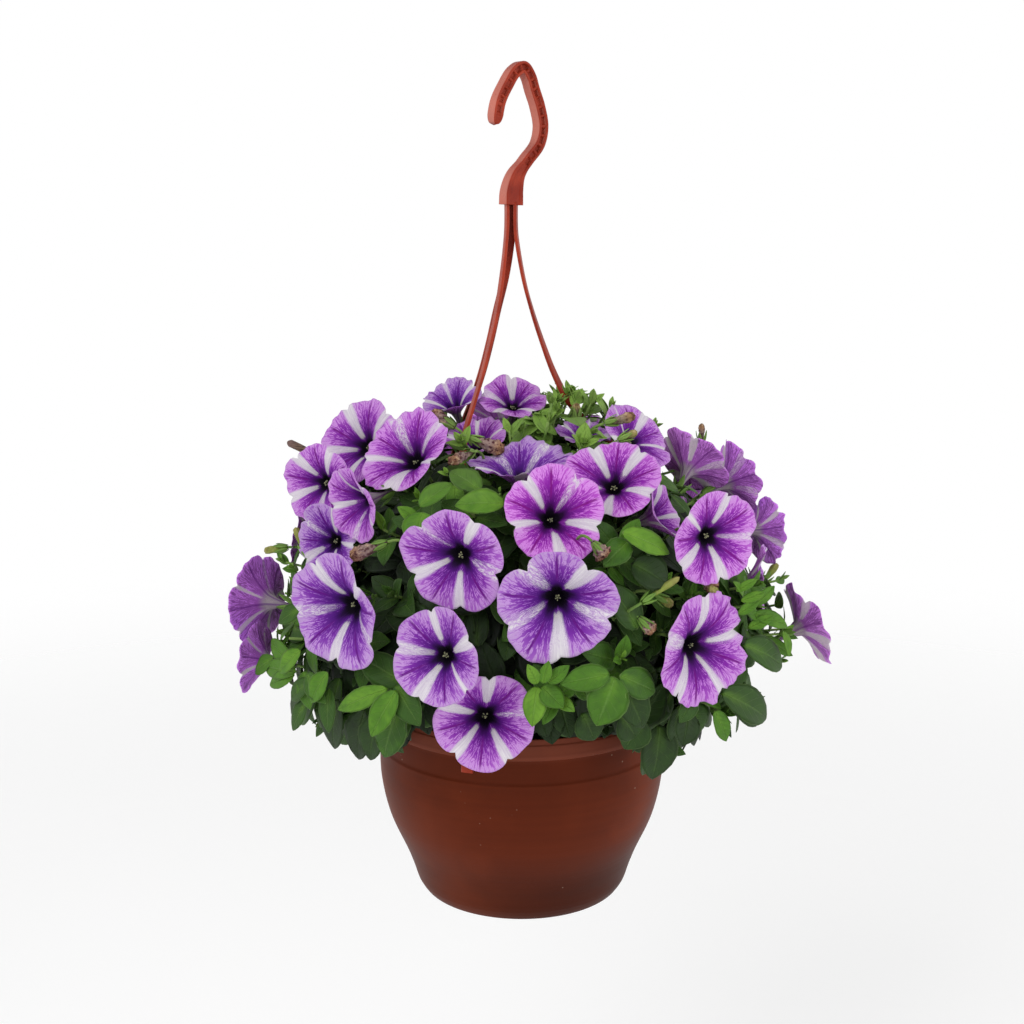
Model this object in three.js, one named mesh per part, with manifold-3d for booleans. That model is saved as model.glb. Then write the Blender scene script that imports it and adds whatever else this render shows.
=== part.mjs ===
// Petunia hanging basket: a moulded plastic pot on a hook with three straps, filled with
// potting soil and planted with one spreading petunia. Millimetres, +Z up.
//
// The origin is the underside of the hook's arch, where a bracket carries the basket, and
// the pot's axis runs straight down from it. Azimuths are degrees about that axis, 0 at
// the front (-Y) and 90 at the right (+X). Heights called "above the rim" are measured
// from the lower edge of the pot's rim band.

import * as THREE from 'three';
import Module from 'manifold-3d';
import { mergeVertices } from 'three/addons/utils/BufferGeometryUtils.js';

// ---------------------------------------------------------------- driving dimensions
const RIM_DROP = 456;          // bearing point down to the lower edge of the rim band
const GAP = 0.4;               // clearance kept between pieces that touch

const POT_DEPTH = 131.5;       // rim band's lower edge down to the foot
const POT_WALL = 2;
const BAND_RADIUS = 105.5;
const BAND_HEIGHT = 15;
const WALL_RADIUS = 103;       // the wall just under the band
const STEP_DEPTH = 17.5;       // shallow step round the wall
const FOOT_RADIUS = 68;        // flat ring that the pot stands on
const FOOT_RECESS = 3;
const DRAIN_HOLES = 6;
const DRAIN_RADIUS = 4;
const DRAIN_CIRCLE = 40;
const ROUND_STEPS = 36;        // facets round the pot

const SOIL_TOP = -3;           // above the rim, at the wall
const SOIL_CROWN = 6;          // the middle stands this much higher

const HOOK_THICK = 7.8;        // in the plane of the hook
const HOOK_DEPTH = 8.6;        // across that plane
const HOOK_TURN = 38;          // the hook's plane against the X axis
const FLANGE = 1.8;
const WEB = 1.8;
const POCKETS = 11;
const SLEEVE_THICK = 14.4;
const SLEEVE_LENGTH = 14;

const STRAP_WIDTH = 6.5;
const STRAP_THICK = 2.2;
const STRAP_START = 3.2;       // from the shank's axis to a strap's middle
const STRAP_STEPS = 24;
const CLIP_RADIUS = 107.4;     // middle of a strap where it passes the rim band
const CLIP_BELOW = 9;          // a clip reaches this far under the band's lower edge
const TOE_INNER = 103.6;

const STEM_RADIUS = 1.7;
const STALK_RADIUS = 1.1;
const STALK_BEND = 14;         // a stalk runs straight into its flower over this length
const DEAD_RADIUS = 2.4;
const LEAF_THICK = 0.8;
const TUBE_LENGTH = 26;        // a flower's tube behind its throat
const CROWN_RADIUS = 38;       // the lowest shoots leave the soil this far from the axis
const CROWN_SPREAD = 30;       // and the tallest ones this much nearer to it
const TALLEST = 222;

// ------------------------------------------------------------------- small geometry
const wasm = await Module();
wasm.setup();

const radians = THREE.MathUtils.degToRad;
const DOWN = new THREE.Vector3(0, 0, -1);

// a point from its azimuth, its distance from the pot's axis and its height above the rim
function place(azimuth, radius, height) {
  const a = radians(azimuth);
  return new THREE.Vector3(radius * Math.sin(a), -radius * Math.cos(a), height - RIM_DROP);
}

// a unit vector from its azimuth and its elevation above the horizon
function heading(azimuth, elevation) {
  const a = radians(azimuth);
  const e = radians(elevation);
  return new THREE.Vector3(Math.sin(a) * Math.cos(e), -Math.cos(a) * Math.cos(e), Math.sin(e));
}

// a closed geometry as a solid
function solid(geometry) {
  const bare = geometry.index ? geometry.toNonIndexed() : geometry.clone();
  bare.deleteAttribute('normal');
  bare.deleteAttribute('uv');
  const merged = mergeVertices(bare, 1e-4);
  return new wasm.Manifold(new wasm.Mesh({
    numProp: 3,
    vertProperties: new Float32Array(merged.attributes.position.array),
    triVerts: new Uint32Array(merged.index.array),
  }));
}

// a solid back as a geometry
function surface(body) {
  const mesh = body.getMesh();
  const geometry = new THREE.BufferGeometry();
  geometry.setAttribute('position', new THREE.BufferAttribute(mesh.vertProperties, 3));
  geometry.setIndex(new THREE.BufferAttribute(mesh.triVerts, 1));
  geometry.computeVertexNormals();
  return geometry;
}

// a closed geometry from rings of equal length: one end point, the rings, the other end point
function ringed(start, rings, end) {
  const count = rings[0].length;
  const points = [start, ...rings.flat(), end];
  const last = points.length - 1;
  const faces = [];
  for (let i = 0; i < count; i += 1) {
    const j = (i + 1) % count;
    faces.push(0, 1 + j, 1 + i);
    for (let k = 0; k + 1 < rings.length; k += 1) {
      const a = 1 + k * count;
      const b = a + count;
      faces.push(a + i, a + j, b + j, a + i, b + j, b + i);
    }
    faces.push(last, last - count + i, last - count + j);
  }
  const geometry = new THREE.BufferGeometry().setFromPoints(points);
  geometry.setIndex(faces);
  return geometry;
}

// a round tube along a curve
function tube(curve, radius, steps, sides = 5) {
  const section = new THREE.Shape(new THREE.EllipseCurve(0, 0, radius, radius).getPoints(sides));
  return new THREE.ExtrudeGeometry(section, { steps, extrudePath: curve });
}

// an outline in a vertical plane, extruded level across that plane and centred on it
function upright(outline, width) {
  const flat = new THREE.Shape(outline);
  const geometry = new THREE.ExtrudeGeometry(flat, { depth: width, bevelEnabled: false });
  return geometry.translate(0, 0, -width / 2).rotateX(Math.PI / 2);
}

// the two sides of a flat ribbon along a plane curve, at a half thickness that may vary
function ribbon(curve, half, from, to, steps) {
  const left = [];
  const right = [];
  for (let i = 0; i <= steps; i += 1) {
    const t = from + (to - from) * i / steps;
    const p = curve.getPointAt(t);
    const d = curve.getTangentAt(t);
    const h = half(t);
    left.push(new THREE.Vector2(p.x - d.y * h, p.y + d.x * h));
    right.push(new THREE.Vector2(p.x + d.y * h, p.y - d.x * h));
  }
  return { left, right };
}

// ------------------------------------------------------------------------ materials
function finish(color, roughness) {
  return new THREE.MeshStandardMaterial({ color, roughness, metalness: 0 });
}

const POT_PLASTIC = finish(0x62301f, 0.5);
const HANGER_PLASTIC = finish(0xa54b3c, 0.45);
const SOIL_CRUMB = finish(0x2b211a, 0.95);
const PETAL = finish(0x9a52c8, 0.7);
const FOLIAGE = finish(0x4f8438, 0.65);
const DEAD_WOOD = finish(0x6b5648, 0.85);

const basket = new THREE.Group();

function piece(name, body, material) {
  const mesh = new THREE.Mesh(surface(body), material.clone());
  mesh.name = name;
  basket.add(mesh);
}

// solids that leaves and flower stalks keep clear of, with the piece that each belongs to
const taken = [];

function occupy(body, owner) {
  taken.push({ body, owner, box: body.boundingBox() });
}

function apart(a, b) {
  return a.min.some((low, i) => low > b.max[i]) || b.min.some((low, i) => low > a.max[i]);
}

function isClear(body, owner) {
  const box = body.boundingBox();
  return taken.every((other) => other.owner === owner || apart(box, other.box)
    || body.intersect(other.body).isEmpty());
}

// ------------------------------------------------------------------------------ pot
// A thin bowl with a stout rim band, a shallow step round the wall, a waist above the
// foot and a foot ring round a recessed floor with drain holes.
function turned(profile) {
  return solid(new THREE.LatheGeometry(profile, ROUND_STEPS).rotateX(Math.PI / 2));
}

function potWall(inset) {
  const bowl = new THREE.SplineCurve([
    [WALL_RADIUS + 1.4, -STEP_DEPTH - 1], [WALL_RADIUS + 1, -42], [98.2, -70], [85.8, -99],
    [81, -112], [77.4, -123],
  ].map(([r, h]) => new THREE.Vector2(r - inset, h)));
  return bowl.getPoints(5);
}

function pot() {
  const inner = potWall(POT_WALL).filter((p) => p.y > -POT_DEPTH + FOOT_RECESS + POT_WALL).reverse();
  const profile = [
    [0, -POT_DEPTH + FOOT_RECESS], [FOOT_RADIUS - 12, -POT_DEPTH + FOOT_RECESS],
    [FOOT_RADIUS - 9, -POT_DEPTH], [FOOT_RADIUS, -POT_DEPTH], [73.4, -POT_DEPTH + 2.5],
    ...potWall(0).reverse().map((p) => [p.x, p.y]),
    [WALL_RADIUS, -STEP_DEPTH], [WALL_RADIUS, 0], [BAND_RADIUS - 0.6, 0],
    [BAND_RADIUS, BAND_HEIGHT - 2], [BAND_RADIUS - 1, BAND_HEIGHT],
    [BAND_RADIUS - 3.5, BAND_HEIGHT], [WALL_RADIUS - POT_WALL, 0],
    [WALL_RADIUS - POT_WALL, -STEP_DEPTH],
    ...inner.reverse().map((p) => [p.x, p.y]),
    [73, -POT_DEPTH + FOOT_RECESS + POT_WALL], [0, -POT_DEPTH + FOOT_RECESS + POT_WALL],
  ].map(([r, h]) => new THREE.Vector2(r, h - RIM_DROP));
  let body = turned(profile);
  for (let i = 0; i < DRAIN_HOLES; i += 1) {
    const hole = new THREE.CylinderGeometry(DRAIN_RADIUS, DRAIN_RADIUS, 20, 12).rotateX(Math.PI / 2);
    const at = place(i * 360 / DRAIN_HOLES, DRAIN_CIRCLE, -POT_DEPTH + FOOT_RECESS);
    body = body.subtract(solid(hole.translate(at.x, at.y, at.z)));
  }
  return body;
}

// ----------------------------------------------------------------------------- soil
// The root ball fills the pot to just under the rim and rises a little round the crown.
function soil() {
  const floor = -POT_DEPTH + FOOT_RECESS + POT_WALL + GAP;
  const side = potWall(POT_WALL + GAP).filter((p) => p.y > floor + 2).reverse();
  const wall = WALL_RADIUS - POT_WALL - GAP;
  const profile = [
    [0, floor], [72, floor], ...side.map((p) => [p.x, p.y]), [wall, -STEP_DEPTH],
    [wall, SOIL_TOP], [wall * 0.55, SOIL_TOP + SOIL_CROWN * 0.7], [0, SOIL_TOP + SOIL_CROWN],
  ].map(([r, h]) => new THREE.Vector2(r, h - RIM_DROP));
  return turned(profile);
}

// ----------------------------------------------------------------------------- hook
// A moulded I-beam bent into a narrow hook with an S down to the shank. Its sides are
// hollowed into rows of small pockets, and the shank flares into a sleeve.
const SHANK_FOOT = [-9.3, -88];
const hookLine = new THREE.CatmullRomCurve3([
  [-23.8, -34.5], [-20.3, -19.5], [-14, -8.5], [-7, 0.6], [0, HOOK_THICK / 2], [5.4, -1.6],
  [9.2, -11], [13.6, -21.5], [16.6, -35], [13.6, -47], [3.4, -58.2], [-5.4, -68.5], [-8.8, -79],
  SHANK_FOOT,
].map(([x, z]) => new THREE.Vector3(x, z, 0)));
const hookLength = hookLine.getLength();
const HOOK_FROM = 0.02;        // the line's start is inside the rounded nose

function hookHalf(t) {
  const grow = THREE.MathUtils.smoothstep(t * hookLength, hookLength - 2 * SLEEVE_LENGTH, hookLength);
  return (HOOK_THICK + (SLEEVE_THICK - HOOK_THICK) * grow) / 2;
}

function hook() {
  const { left, right } = ribbon(hookLine, hookHalf, HOOK_FROM, 1, 36);
  const tip = hookLine.getPointAt(HOOK_FROM);
  const end = hookLine.getTangentAt(HOOK_FROM);
  const nose = [40, 90, 140].map((angle) => {
    const a = radians(angle);
    const out = Math.sin(a) * HOOK_THICK / 2;
    const side = Math.cos(a) * HOOK_THICK / 2;
    return new THREE.Vector2(tip.x - end.x * out - end.y * side, tip.y - end.y * out + end.x * side);
  });
  let body = solid(upright([...nose.reverse(), ...left, ...right.reverse()], HOOK_DEPTH));
  const pocketDeep = (HOOK_DEPTH - WEB) / 2;
  const first = 0.04;
  const reach = (hookLength - SLEEVE_LENGTH) / hookLength - first;
  for (let i = 0; i < POCKETS; i += 1) {
    const from = first + reach * (i + 0.1) / POCKETS;
    const to = first + reach * (i + 0.9) / POCKETS;
    const walls = ribbon(hookLine, () => HOOK_THICK / 2 - FLANGE, from, to, 2);
    const outline = [...walls.left, ...walls.right.reverse()];
    for (const side of [-1, 1]) {
      const cut = upright(outline, pocketDeep + 1);
      cut.translate(0, side * (WEB / 2 + (pocketDeep + 1) / 2), 0);
      body = body.subtract(solid(cut));
    }
  }
  return body.rotate([0, 0, HOOK_TURN]);
}

// --------------------------------------------------------------------------- straps
// Three flat straps leave the sleeve side by side, open out over the plant and come
// down outside the rim, where each ends in a toe that hooks under the rim band. A strap
// swings round a little on its way, so it has an azimuth at the shank, one where it
// opens out and one at its clip.
const STRAPS = { front: [-36, -39, -20], right: [84, 88, 94], rear: [-154, -137, -146] };
const hub = new THREE.Vector3(SHANK_FOOT[0], 0, SHANK_FOOT[1])
  .applyAxisAngle(new THREE.Vector3(0, 0, 1), radians(HOOK_TURN));
const hubHeight = hub.z + RIM_DROP;

// distance out, from the shank at first and from the pot's axis at last, and height
// above the rim
const STRAP_FALL = [
  [STRAP_START, hubHeight - GAP], [STRAP_START, hubHeight - 12], [STRAP_START + 0.6, hubHeight - 22],
  [9, 316], [15, 294], [22, 273], [30, 252], [39.5, 233], [52, 216], [68, 200], [85, 181],
  [99, 155], [107, 120], [110.5, 80], [110.5, 45], [109.4, 22], [CLIP_RADIUS, 10],
  [CLIP_RADIUS, -CLIP_BELOW],
];

function strapAzimuth([start, open, clip], out) {
  const opening = THREE.MathUtils.smoothstep(out, STRAP_START, 12);
  const closing = THREE.MathUtils.smoothstep(out, 35, CLIP_RADIUS);
  return start + (open - start) * opening + (clip - open) * closing;
}

function strapPoint(azimuths, out, height) {
  const centred = 1 - THREE.MathUtils.smoothstep(out, 30, 100);
  const point = place(strapAzimuth(azimuths, out), out, height);
  return point.add(new THREE.Vector3(hub.x * centred, hub.y * centred, 0));
}

function strap(azimuths) {
  const line = new THREE.CatmullRomCurve3(STRAP_FALL.map((row) => strapPoint(azimuths, ...row)));
  const rings = [];
  for (let i = 0; i <= STRAP_STEPS; i += 1) {
    const t = i / STRAP_STEPS;
    const at = line.getPointAt(t);
    const ahead = i === 0 || i === STRAP_STEPS ? DOWN : line.getTangentAt(t);
    const fromPot = Math.hypot(at.x, at.y);
    const out = fromPot > 60 ? fromPot : Math.hypot(at.x - hub.x, at.y - hub.y);
    const across = heading(strapAzimuth(azimuths, out) + 90, 0).multiplyScalar(STRAP_WIDTH / 2);
    const through = across.clone().cross(ahead).setLength(STRAP_THICK / 2);
    rings.push([[1, 1], [1, -1], [-1, -1], [-1, 1]].map(([a, b]) => at.clone()
      .addScaledVector(across, a).addScaledVector(through, b)));
  }
  const body = solid(ringed(line.getPointAt(0), rings, line.getPointAt(1)));
  return body.add(clipToe(azimuths[2]));
}

// the toe points inwards under the rim band, from the strap's inner face
function clipToe(azimuth) {
  const inner = CLIP_RADIUS - STRAP_THICK / 2;
  const outline = [[inner + 0.5, -CLIP_BELOW + 1], [inner, -CLIP_BELOW + 1], [TOE_INNER, -3.6],
    [TOE_INNER, -GAP], [inner + 0.5, -GAP]].map(([x, z]) => new THREE.Vector2(x, z - RIM_DROP));
  return solid(upright(outline, STRAP_WIDTH - 1).rotateZ(radians(azimuth - 90)));
}

// -------------------------------------------------------------------------- flowers
// Each flower is a trumpet: five fused lobes round a narrow throat, on a slender tube.
// azimuth, radius and height above the rim of the limb's middle, limb diameter, azimuth
// and elevation that it faces, and how far its uppermost lobe leans clockwise.
const FLOWERS = [
  [-92, 50, 234, 43, -20, 55, 0], [-84, 117, 203, 66, -35, 25, 0], [-45, 110, 208, 65, -30, 38, 0],
  [-70, 150, 181, 54, -35, 8, -12], [-48, 150, 174, 53, -52, -12, 10], [-60, 152, 145, 52, -32, 8, -20],
  [-39, 188, 114, 75, -35, -5, 10], [-87, 191, 88, 66, -122, 0, 20], [-76, 194, 56, 50, -108, 5, 0],
  [-14, 175, 153, 67, -22, -8, -5], [-16, 187, 95, 63, -25, 8, 24], [-8, 167, 49, 64, 0, 5, 42],
  [7, 186, 127, 73, 2, -9, -3], [8, 150, 179, 64, 12, 28, 1], [28, 125, 195, 61, -10, 43, 3],
  [-1, 92, 202, 68, 0, 74, 0], [-90, 6, 234, 48, 5, 62, 36], [-47, 46, 210, 48, -25, 62, 20],
  [48, 58, 214, 39, 20, 68, 0], [69, 86, 212, 56, 48, 45, 20], [95, 124, 186, 55, 150, 35, 20],
  [101, 162, 170, 56, 122, 15, 0], [93, 179, 135, 48, 115, -5, 0], [42, 142, 171, 48, 72, 22, 0],
  [42, 183, 160, 63, 27, 0, -15], [38, 190, 90, 75, 35, -3, 41], [73, 175, 112, 49, 80, 5, 0],
  [84, 206, 74, 65, 106, 25, 0], [-83, 161, 140, 50, -85, 5, 0],
  [-128, 165, 160, 62, -130, 20, 12], [-150, 190, 100, 66, -148, 0, 30],
  [-165, 150, 178, 64, -160, 35, 5],
  [178, 188, 140, 68, 175, 5, 18], [160, 186, 82, 64, 150, -5, 48], [150, 140, 186, 60, 140, 40, 25],
  [128, 178, 130, 62, 130, 5, 8], [-172, 90, 212, 58, 170, 62, 40],
];
const LOBES = 5;
const NOTCH = 0.9;             // the limb's radius at a notch, as a share of the full one

// rings from the tube's foot, round the limb's edge and down into the throat: distance in
// front of the edge as a share of the limb's radius and in millimetres, then the radius
// as a share of the limb's and in millimetres
const TRUMPET = [
  [-0.3, -TUBE_LENGTH, 0, 1.5], [-0.3, -2, 0.07, 2.4], [-0.16, -1, 0.55, 0], [0, 0, 1, 0],
  [-0.3, 1, 0.13, 0],
];

function flower([azimuth, radius, height, diameter, faceAzimuth, faceElevation, lean]) {
  const centre = place(azimuth, radius, height);
  const ahead = heading(faceAzimuth, faceElevation);
  const up = heading(faceAzimuth + 180, 90 - faceElevation);
  const right = new THREE.Vector3().crossVectors(up, ahead);
  const limb = diameter / 2;
  const along = (share, extra) => centre.clone().addScaledVector(ahead, share * limb + extra);
  const rings = TRUMPET.map(([share, extra, wide, base]) => {
    const ring = [];
    for (let i = 0; i < 2 * LOBES; i += 1) {
      const a = radians(lean - i * 180 / LOBES);
      const reach = (wide * limb + base) * (wide > 0.5 && i % 2 ? NOTCH : 1);
      ring.push(along(share, extra).addScaledVector(right, Math.sin(a) * reach)
        .addScaledVector(up, Math.cos(a) * reach));
    }
    return ring;
  });
  const foot = along(-0.3, -TUBE_LENGTH);
  return { body: solid(ringed(foot, rings, along(-0.3, -8))), foot, ahead };
}

// ------------------------------------------------------------------ stems and leaves
// Each stem runs from the crown to a leafy tip, given as azimuth, radius and height above
// the rim. Flower stalks branch from it, and leaves stand on it in crossed pairs.
const TIPS = [
  [-37, 149, 55], [3, 160, 58], [22, 176, 122], [39, 152, 16], [64, 172, 101], [69, 168, 28],
  [-65, 166, 114], [-80, 178, 49], [-33, 120, 178], [96, 50, 222], [71, 128, 167], [-59, 156, 24],
  [175, 160, 60], [-120, 165, 90], [140, 155, 130], [-158, 150, 140],
];
const BRANCHING = [0.95, 0.85, 0.75, 0.65, 0.55, 0.45, 0.35];   // where stalks may branch off
const PAIRS = 3;
const PAIR_TURN = 90;

function stemLine([azimuth, radius, height]) {
  const foot = CROWN_RADIUS - CROWN_SPREAD * height / TALLEST;
  const start = place(azimuth, foot, SOIL_TOP + SOIL_CROWN + GAP + 1.5);
  const bend = place(azimuth, radius * 0.45, Math.max(height * 0.8, 60));
  return new THREE.QuadraticBezierCurve3(start, bend, place(azimuth, radius, height));
}

function leaf(base, along, face, length, width, thick) {
  const side = new THREE.Vector3().crossVectors(along, face).normalize();
  const over = new THREE.Vector3().crossVectors(side, along).normalize();
  const outline = [[0, 0], [0.52, 0.5], [1, 0], [0.52, -0.5]];
  const level = (lift) => outline.map(([forward, aside]) => base.clone()
    .addScaledVector(along, forward * length)
    .addScaledVector(side, aside * width)
    .addScaledVector(over, lift + (Math.abs(aside) * 0.35 - forward * forward * 0.25) * width));
  const centre = base.clone().addScaledVector(along, length * 0.5);
  const top = centre.clone().addScaledVector(over, thick / 2);
  const under = centre.clone().addScaledVector(over, -thick / 2);
  return solid(ringed(under, [level(-thick / 2), level(thick / 2)], top));
}

function pairAt(line, t, turn, length, grow) {
  const ahead = line.getTangentAt(t);
  const level = new THREE.Vector3(-ahead.y, ahead.x, 0).normalize();
  const base = line.getPointAt(t);
  return [0, 180].map((flip) => {
    const out = level.clone().applyAxisAngle(ahead, radians(turn + flip));
    const along = out.clone().addScaledVector(ahead, grow).normalize();
    return { base, along, face: ahead.clone().addScaledVector(out, -grow), length };
  });
}

// the stalk of one flower, from the nearest stem that it can reach freely
function addStalk(bloom, stems) {
  const end = bloom.foot.clone().addScaledVector(bloom.ahead, -GAP - 0.2);
  const bend = bloom.foot.clone().addScaledVector(bloom.ahead, -STALK_BEND);
  const forks = stems.flatMap((stem) => BRANCHING.map((t) => ({ stem, at: stem.line.getPointAt(t) })))
    .sort((a, b) => a.at.distanceTo(bend) - b.at.distanceTo(bend));
  for (const { stem, at } of forks) {
    const line = new THREE.QuadraticBezierCurve3(at, bend, end);
    if (isClear(solid(tube(line, STALK_RADIUS + GAP, 3)), stem.name)) {
      const stalk = solid(tube(line, STALK_RADIUS, 3, 4));
      occupy(stalk, stem.name);
      stem.body = stem.body.add(stalk);
      return;
    }
  }
}

function addLeaves(stem) {
  for (let k = 0; k < PAIRS; k += 1) {
    const t = 0.55 + 0.43 * k / (PAIRS - 1);
    const length = k === PAIRS - 1 ? 26 : 40;
    const tilt = k === PAIRS - 1 ? 0.9 : 0.35;
    for (const blade of pairAt(stem.line, t, 20 + PAIR_TURN * k, length, tilt)) {
      const shape = [blade.base, blade.along, blade.face, blade.length, blade.length * 0.55];
      if (isClear(leaf(...shape, LEAF_THICK + 2 * GAP), stem.name)) {
        const plate = leaf(...shape, LEAF_THICK);
        occupy(plate, stem.name);
        stem.body = stem.body.add(plate);
      }
    }
  }
}

// A dead shoot with no leaves, broken off short of the flowers beside it.
function deadShoot() {
  const line = new THREE.QuadraticBezierCurve3(place(-97, 36, SOIL_TOP + SOIL_CROWN + 2),
    place(-97, 69, 155), place(-95, 169, 199));
  return solid(tube(line, DEAD_RADIUS, 8));
}

// ------------------------------------------------------------------ the whole basket
const numbered = (name, index) => `${name}_${String(index + 1).padStart(2, '0')}`;

const fixed = { pot: pot(), potting_soil: soil(), hanger_hook: hook() };
piece('pot', fixed.pot, POT_PLASTIC);
piece('potting_soil', fixed.potting_soil, SOIL_CRUMB);
piece('hanger_hook', fixed.hanger_hook, HANGER_PLASTIC);
for (const [side, azimuths] of Object.entries(STRAPS)) {
  fixed[side] = strap(azimuths);
  piece(`hanger_strap_${side}`, fixed[side], HANGER_PLASTIC);
}
for (const [name, body] of Object.entries(fixed)) {
  occupy(body, name);
}

const blooms = FLOWERS.map(flower);
blooms.forEach((bloom, i) => {
  occupy(bloom.body, numbered('flower', i));
  piece(numbered('flower', i), bloom.body, PETAL);
});

const shoot = deadShoot();
occupy(shoot, 'dead_shoot');
piece('dead_shoot', shoot, DEAD_WOOD);

const stems = TIPS.map((tip, i) => {
  const line = stemLine(tip);
  return { name: numbered('stem', i), line, body: solid(tube(line, STEM_RADIUS, 6)) };
});
stems.forEach((stem) => occupy(stem.body, stem.name));
blooms.forEach((bloom) => addStalk(bloom, stems));
stems.forEach(addLeaves);
stems.forEach((stem) => piece(stem.name, stem.body, FOLIAGE));

export default basket;
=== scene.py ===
"""A petunia hanging basket: a brown moulded pot on a terracotta hook with three straps, potting
soil, and one spreading petunia. Metres, +Z up, origin under the hook's arch, front at -Y."""

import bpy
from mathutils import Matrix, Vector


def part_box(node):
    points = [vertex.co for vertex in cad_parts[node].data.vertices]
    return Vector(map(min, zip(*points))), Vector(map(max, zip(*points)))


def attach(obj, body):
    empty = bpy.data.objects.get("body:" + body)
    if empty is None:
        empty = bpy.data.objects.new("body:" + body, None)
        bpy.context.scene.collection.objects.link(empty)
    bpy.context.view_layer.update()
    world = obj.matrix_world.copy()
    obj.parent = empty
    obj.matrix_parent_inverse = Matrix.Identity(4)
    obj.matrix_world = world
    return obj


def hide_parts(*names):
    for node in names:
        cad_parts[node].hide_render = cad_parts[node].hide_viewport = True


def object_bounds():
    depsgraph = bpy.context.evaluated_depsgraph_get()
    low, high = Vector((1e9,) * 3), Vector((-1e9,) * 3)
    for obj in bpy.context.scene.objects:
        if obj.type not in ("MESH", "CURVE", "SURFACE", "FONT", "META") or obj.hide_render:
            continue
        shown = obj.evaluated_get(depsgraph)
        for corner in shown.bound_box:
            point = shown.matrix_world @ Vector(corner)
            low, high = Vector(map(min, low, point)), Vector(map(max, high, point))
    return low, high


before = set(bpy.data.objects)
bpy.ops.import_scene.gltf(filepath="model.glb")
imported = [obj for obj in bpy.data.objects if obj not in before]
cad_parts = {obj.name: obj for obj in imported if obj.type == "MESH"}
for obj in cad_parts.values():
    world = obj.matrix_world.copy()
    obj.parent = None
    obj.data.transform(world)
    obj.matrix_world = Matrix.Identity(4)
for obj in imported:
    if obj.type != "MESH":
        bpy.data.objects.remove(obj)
cad_box = [list(corner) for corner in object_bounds()]

import bmesh
import bpy
import numpy as np

# ------------------------------------------------------------------------------ the studio
# A pale floor far below the hanging basket, an even white surround that is brightest near
# the horizon, a broad soft lamp from the upper left and a weaker one from the right.
scene = bpy.context.scene
scene.view_settings.view_transform = "Standard"

camera = bpy.data.objects.new("camera", bpy.data.cameras.new("camera"))
camera.data.lens = 54.7
camera.data.shift_x = -0.0094
camera.location = (0, -1.1, -0.0895)
camera.rotation_euler = (np.radians(78.9), 0, 0)
scene.collection.objects.link(camera)
scene.camera = camera
PLANT_MIDDLE = Vector((0, 0, -0.35))


def soft_lamp(name, place, size, power):
    """A square area lamp at a place, turned towards the middle of the plant."""
    lamp = bpy.data.objects.new(name, bpy.data.lights.new(name, "AREA"))
    lamp.data.size = size
    lamp.data.energy = power
    lamp.location = place
    aim = PLANT_MIDDLE - lamp.location
    lamp.rotation_euler = aim.to_track_quat("-Z", "Y").to_euler()
    scene.collection.objects.link(lamp)


soft_lamp("lamp_left", (-1.1, -1.5, 1.1), 1.2, 17)
soft_lamp("lamp_right", (1.7, -0.9, 0.3), 1.0, 8)


class Wire:
    """A value, colour or vector in a node tree. Arithmetic on a value adds Math nodes."""

    def __init__(self, tree, socket=None):
        self.tree = tree
        self.socket = socket

    def node(self, kind, settings=None, inputs=None, out=0):
        """Adds a node of a type, with its settings first, then its sockets' values or links."""
        node = self.tree.nodes.new(kind)
        for key, value in (settings or {}).items():
            if key == "stops":
                ramp = node.color_ramp.elements
                while len(ramp) < len(value):
                    ramp.new(0.5)
                for stop, (place, colour) in zip(ramp, value):
                    stop.position = place
                    stop.color = colour
            else:
                setattr(node, key, value)
        for key, value in (inputs or {}).items():
            if isinstance(value, Wire):
                self.tree.links.new(value.socket, node.inputs[key])
            else:
                node.inputs[key].default_value = value
        return Wire(self.tree, node.outputs[out])

    def math(self, operation, *values):
        """A Math node's result for up to three wires or numbers."""
        return self.node("ShaderNodeMath", {"operation": operation}, dict(enumerate(values)))

    def __add__(self, other):
        return self.math("ADD", self, other)

    def __sub__(self, other):
        return self.math("SUBTRACT", self, other)

    def __rsub__(self, other):
        return self.math("SUBTRACT", other, self)

    def __mul__(self, other):
        return self.math("MULTIPLY", self, other)

    def __truediv__(self, other):
        return self.math("DIVIDE", self, other)

    def __pow__(self, other):
        return self.math("POWER", self, other)

    __radd__ = __add__
    __rmul__ = __mul__

    def part(self, number):
        """One of this vector's three parts, numbered from 0."""
        return self.node("ShaderNodeSeparateXYZ", None, {0: self}, out=number)

    def rise(self, low, high):
        """0 below low, 1 above high and smooth between; falls if low is the larger."""
        span = {"interpolation_type": "SMOOTHSTEP"}
        ends = {"Value": self, "From Min": low, "From Max": high}
        return self.node("ShaderNodeMapRange", span, ends)

    def stretched(self, scale, shift=(0, 0, 0)):
        """This vector, scaled along each axis and then shifted."""
        turn = {"Vector": self, "Scale": scale, "Location": shift}
        return self.node("ShaderNodeMapping", None, turn)

    def noise(self, scale, detail=2.0, rough=0.5):
        """Cloudy noise from 0 to 1 over this vector."""
        feed = {"Vector": self, "Scale": scale, "Detail": detail, "Roughness": rough}
        return self.node("ShaderNodeTexNoise", None, feed)

    def cells(self, scale):
        """Distance to the nearest of many scattered points over this vector."""
        return self.node("ShaderNodeTexVoronoi", None, {"Vector": self, "Scale": scale})

    def blend(self, one, other):
        """Colour one where this value is 0, colour other where it is 1."""
        feed = {0: self, 6: one, 7: other}
        return self.node("ShaderNodeMix", {"data_type": "RGBA"}, feed, out=2)

    def ramp(self, *stops):
        """A colour from stops of (this value, colour)."""
        return self.node("ShaderNodeValToRGB", {"stops": stops}, {0: self})


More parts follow.
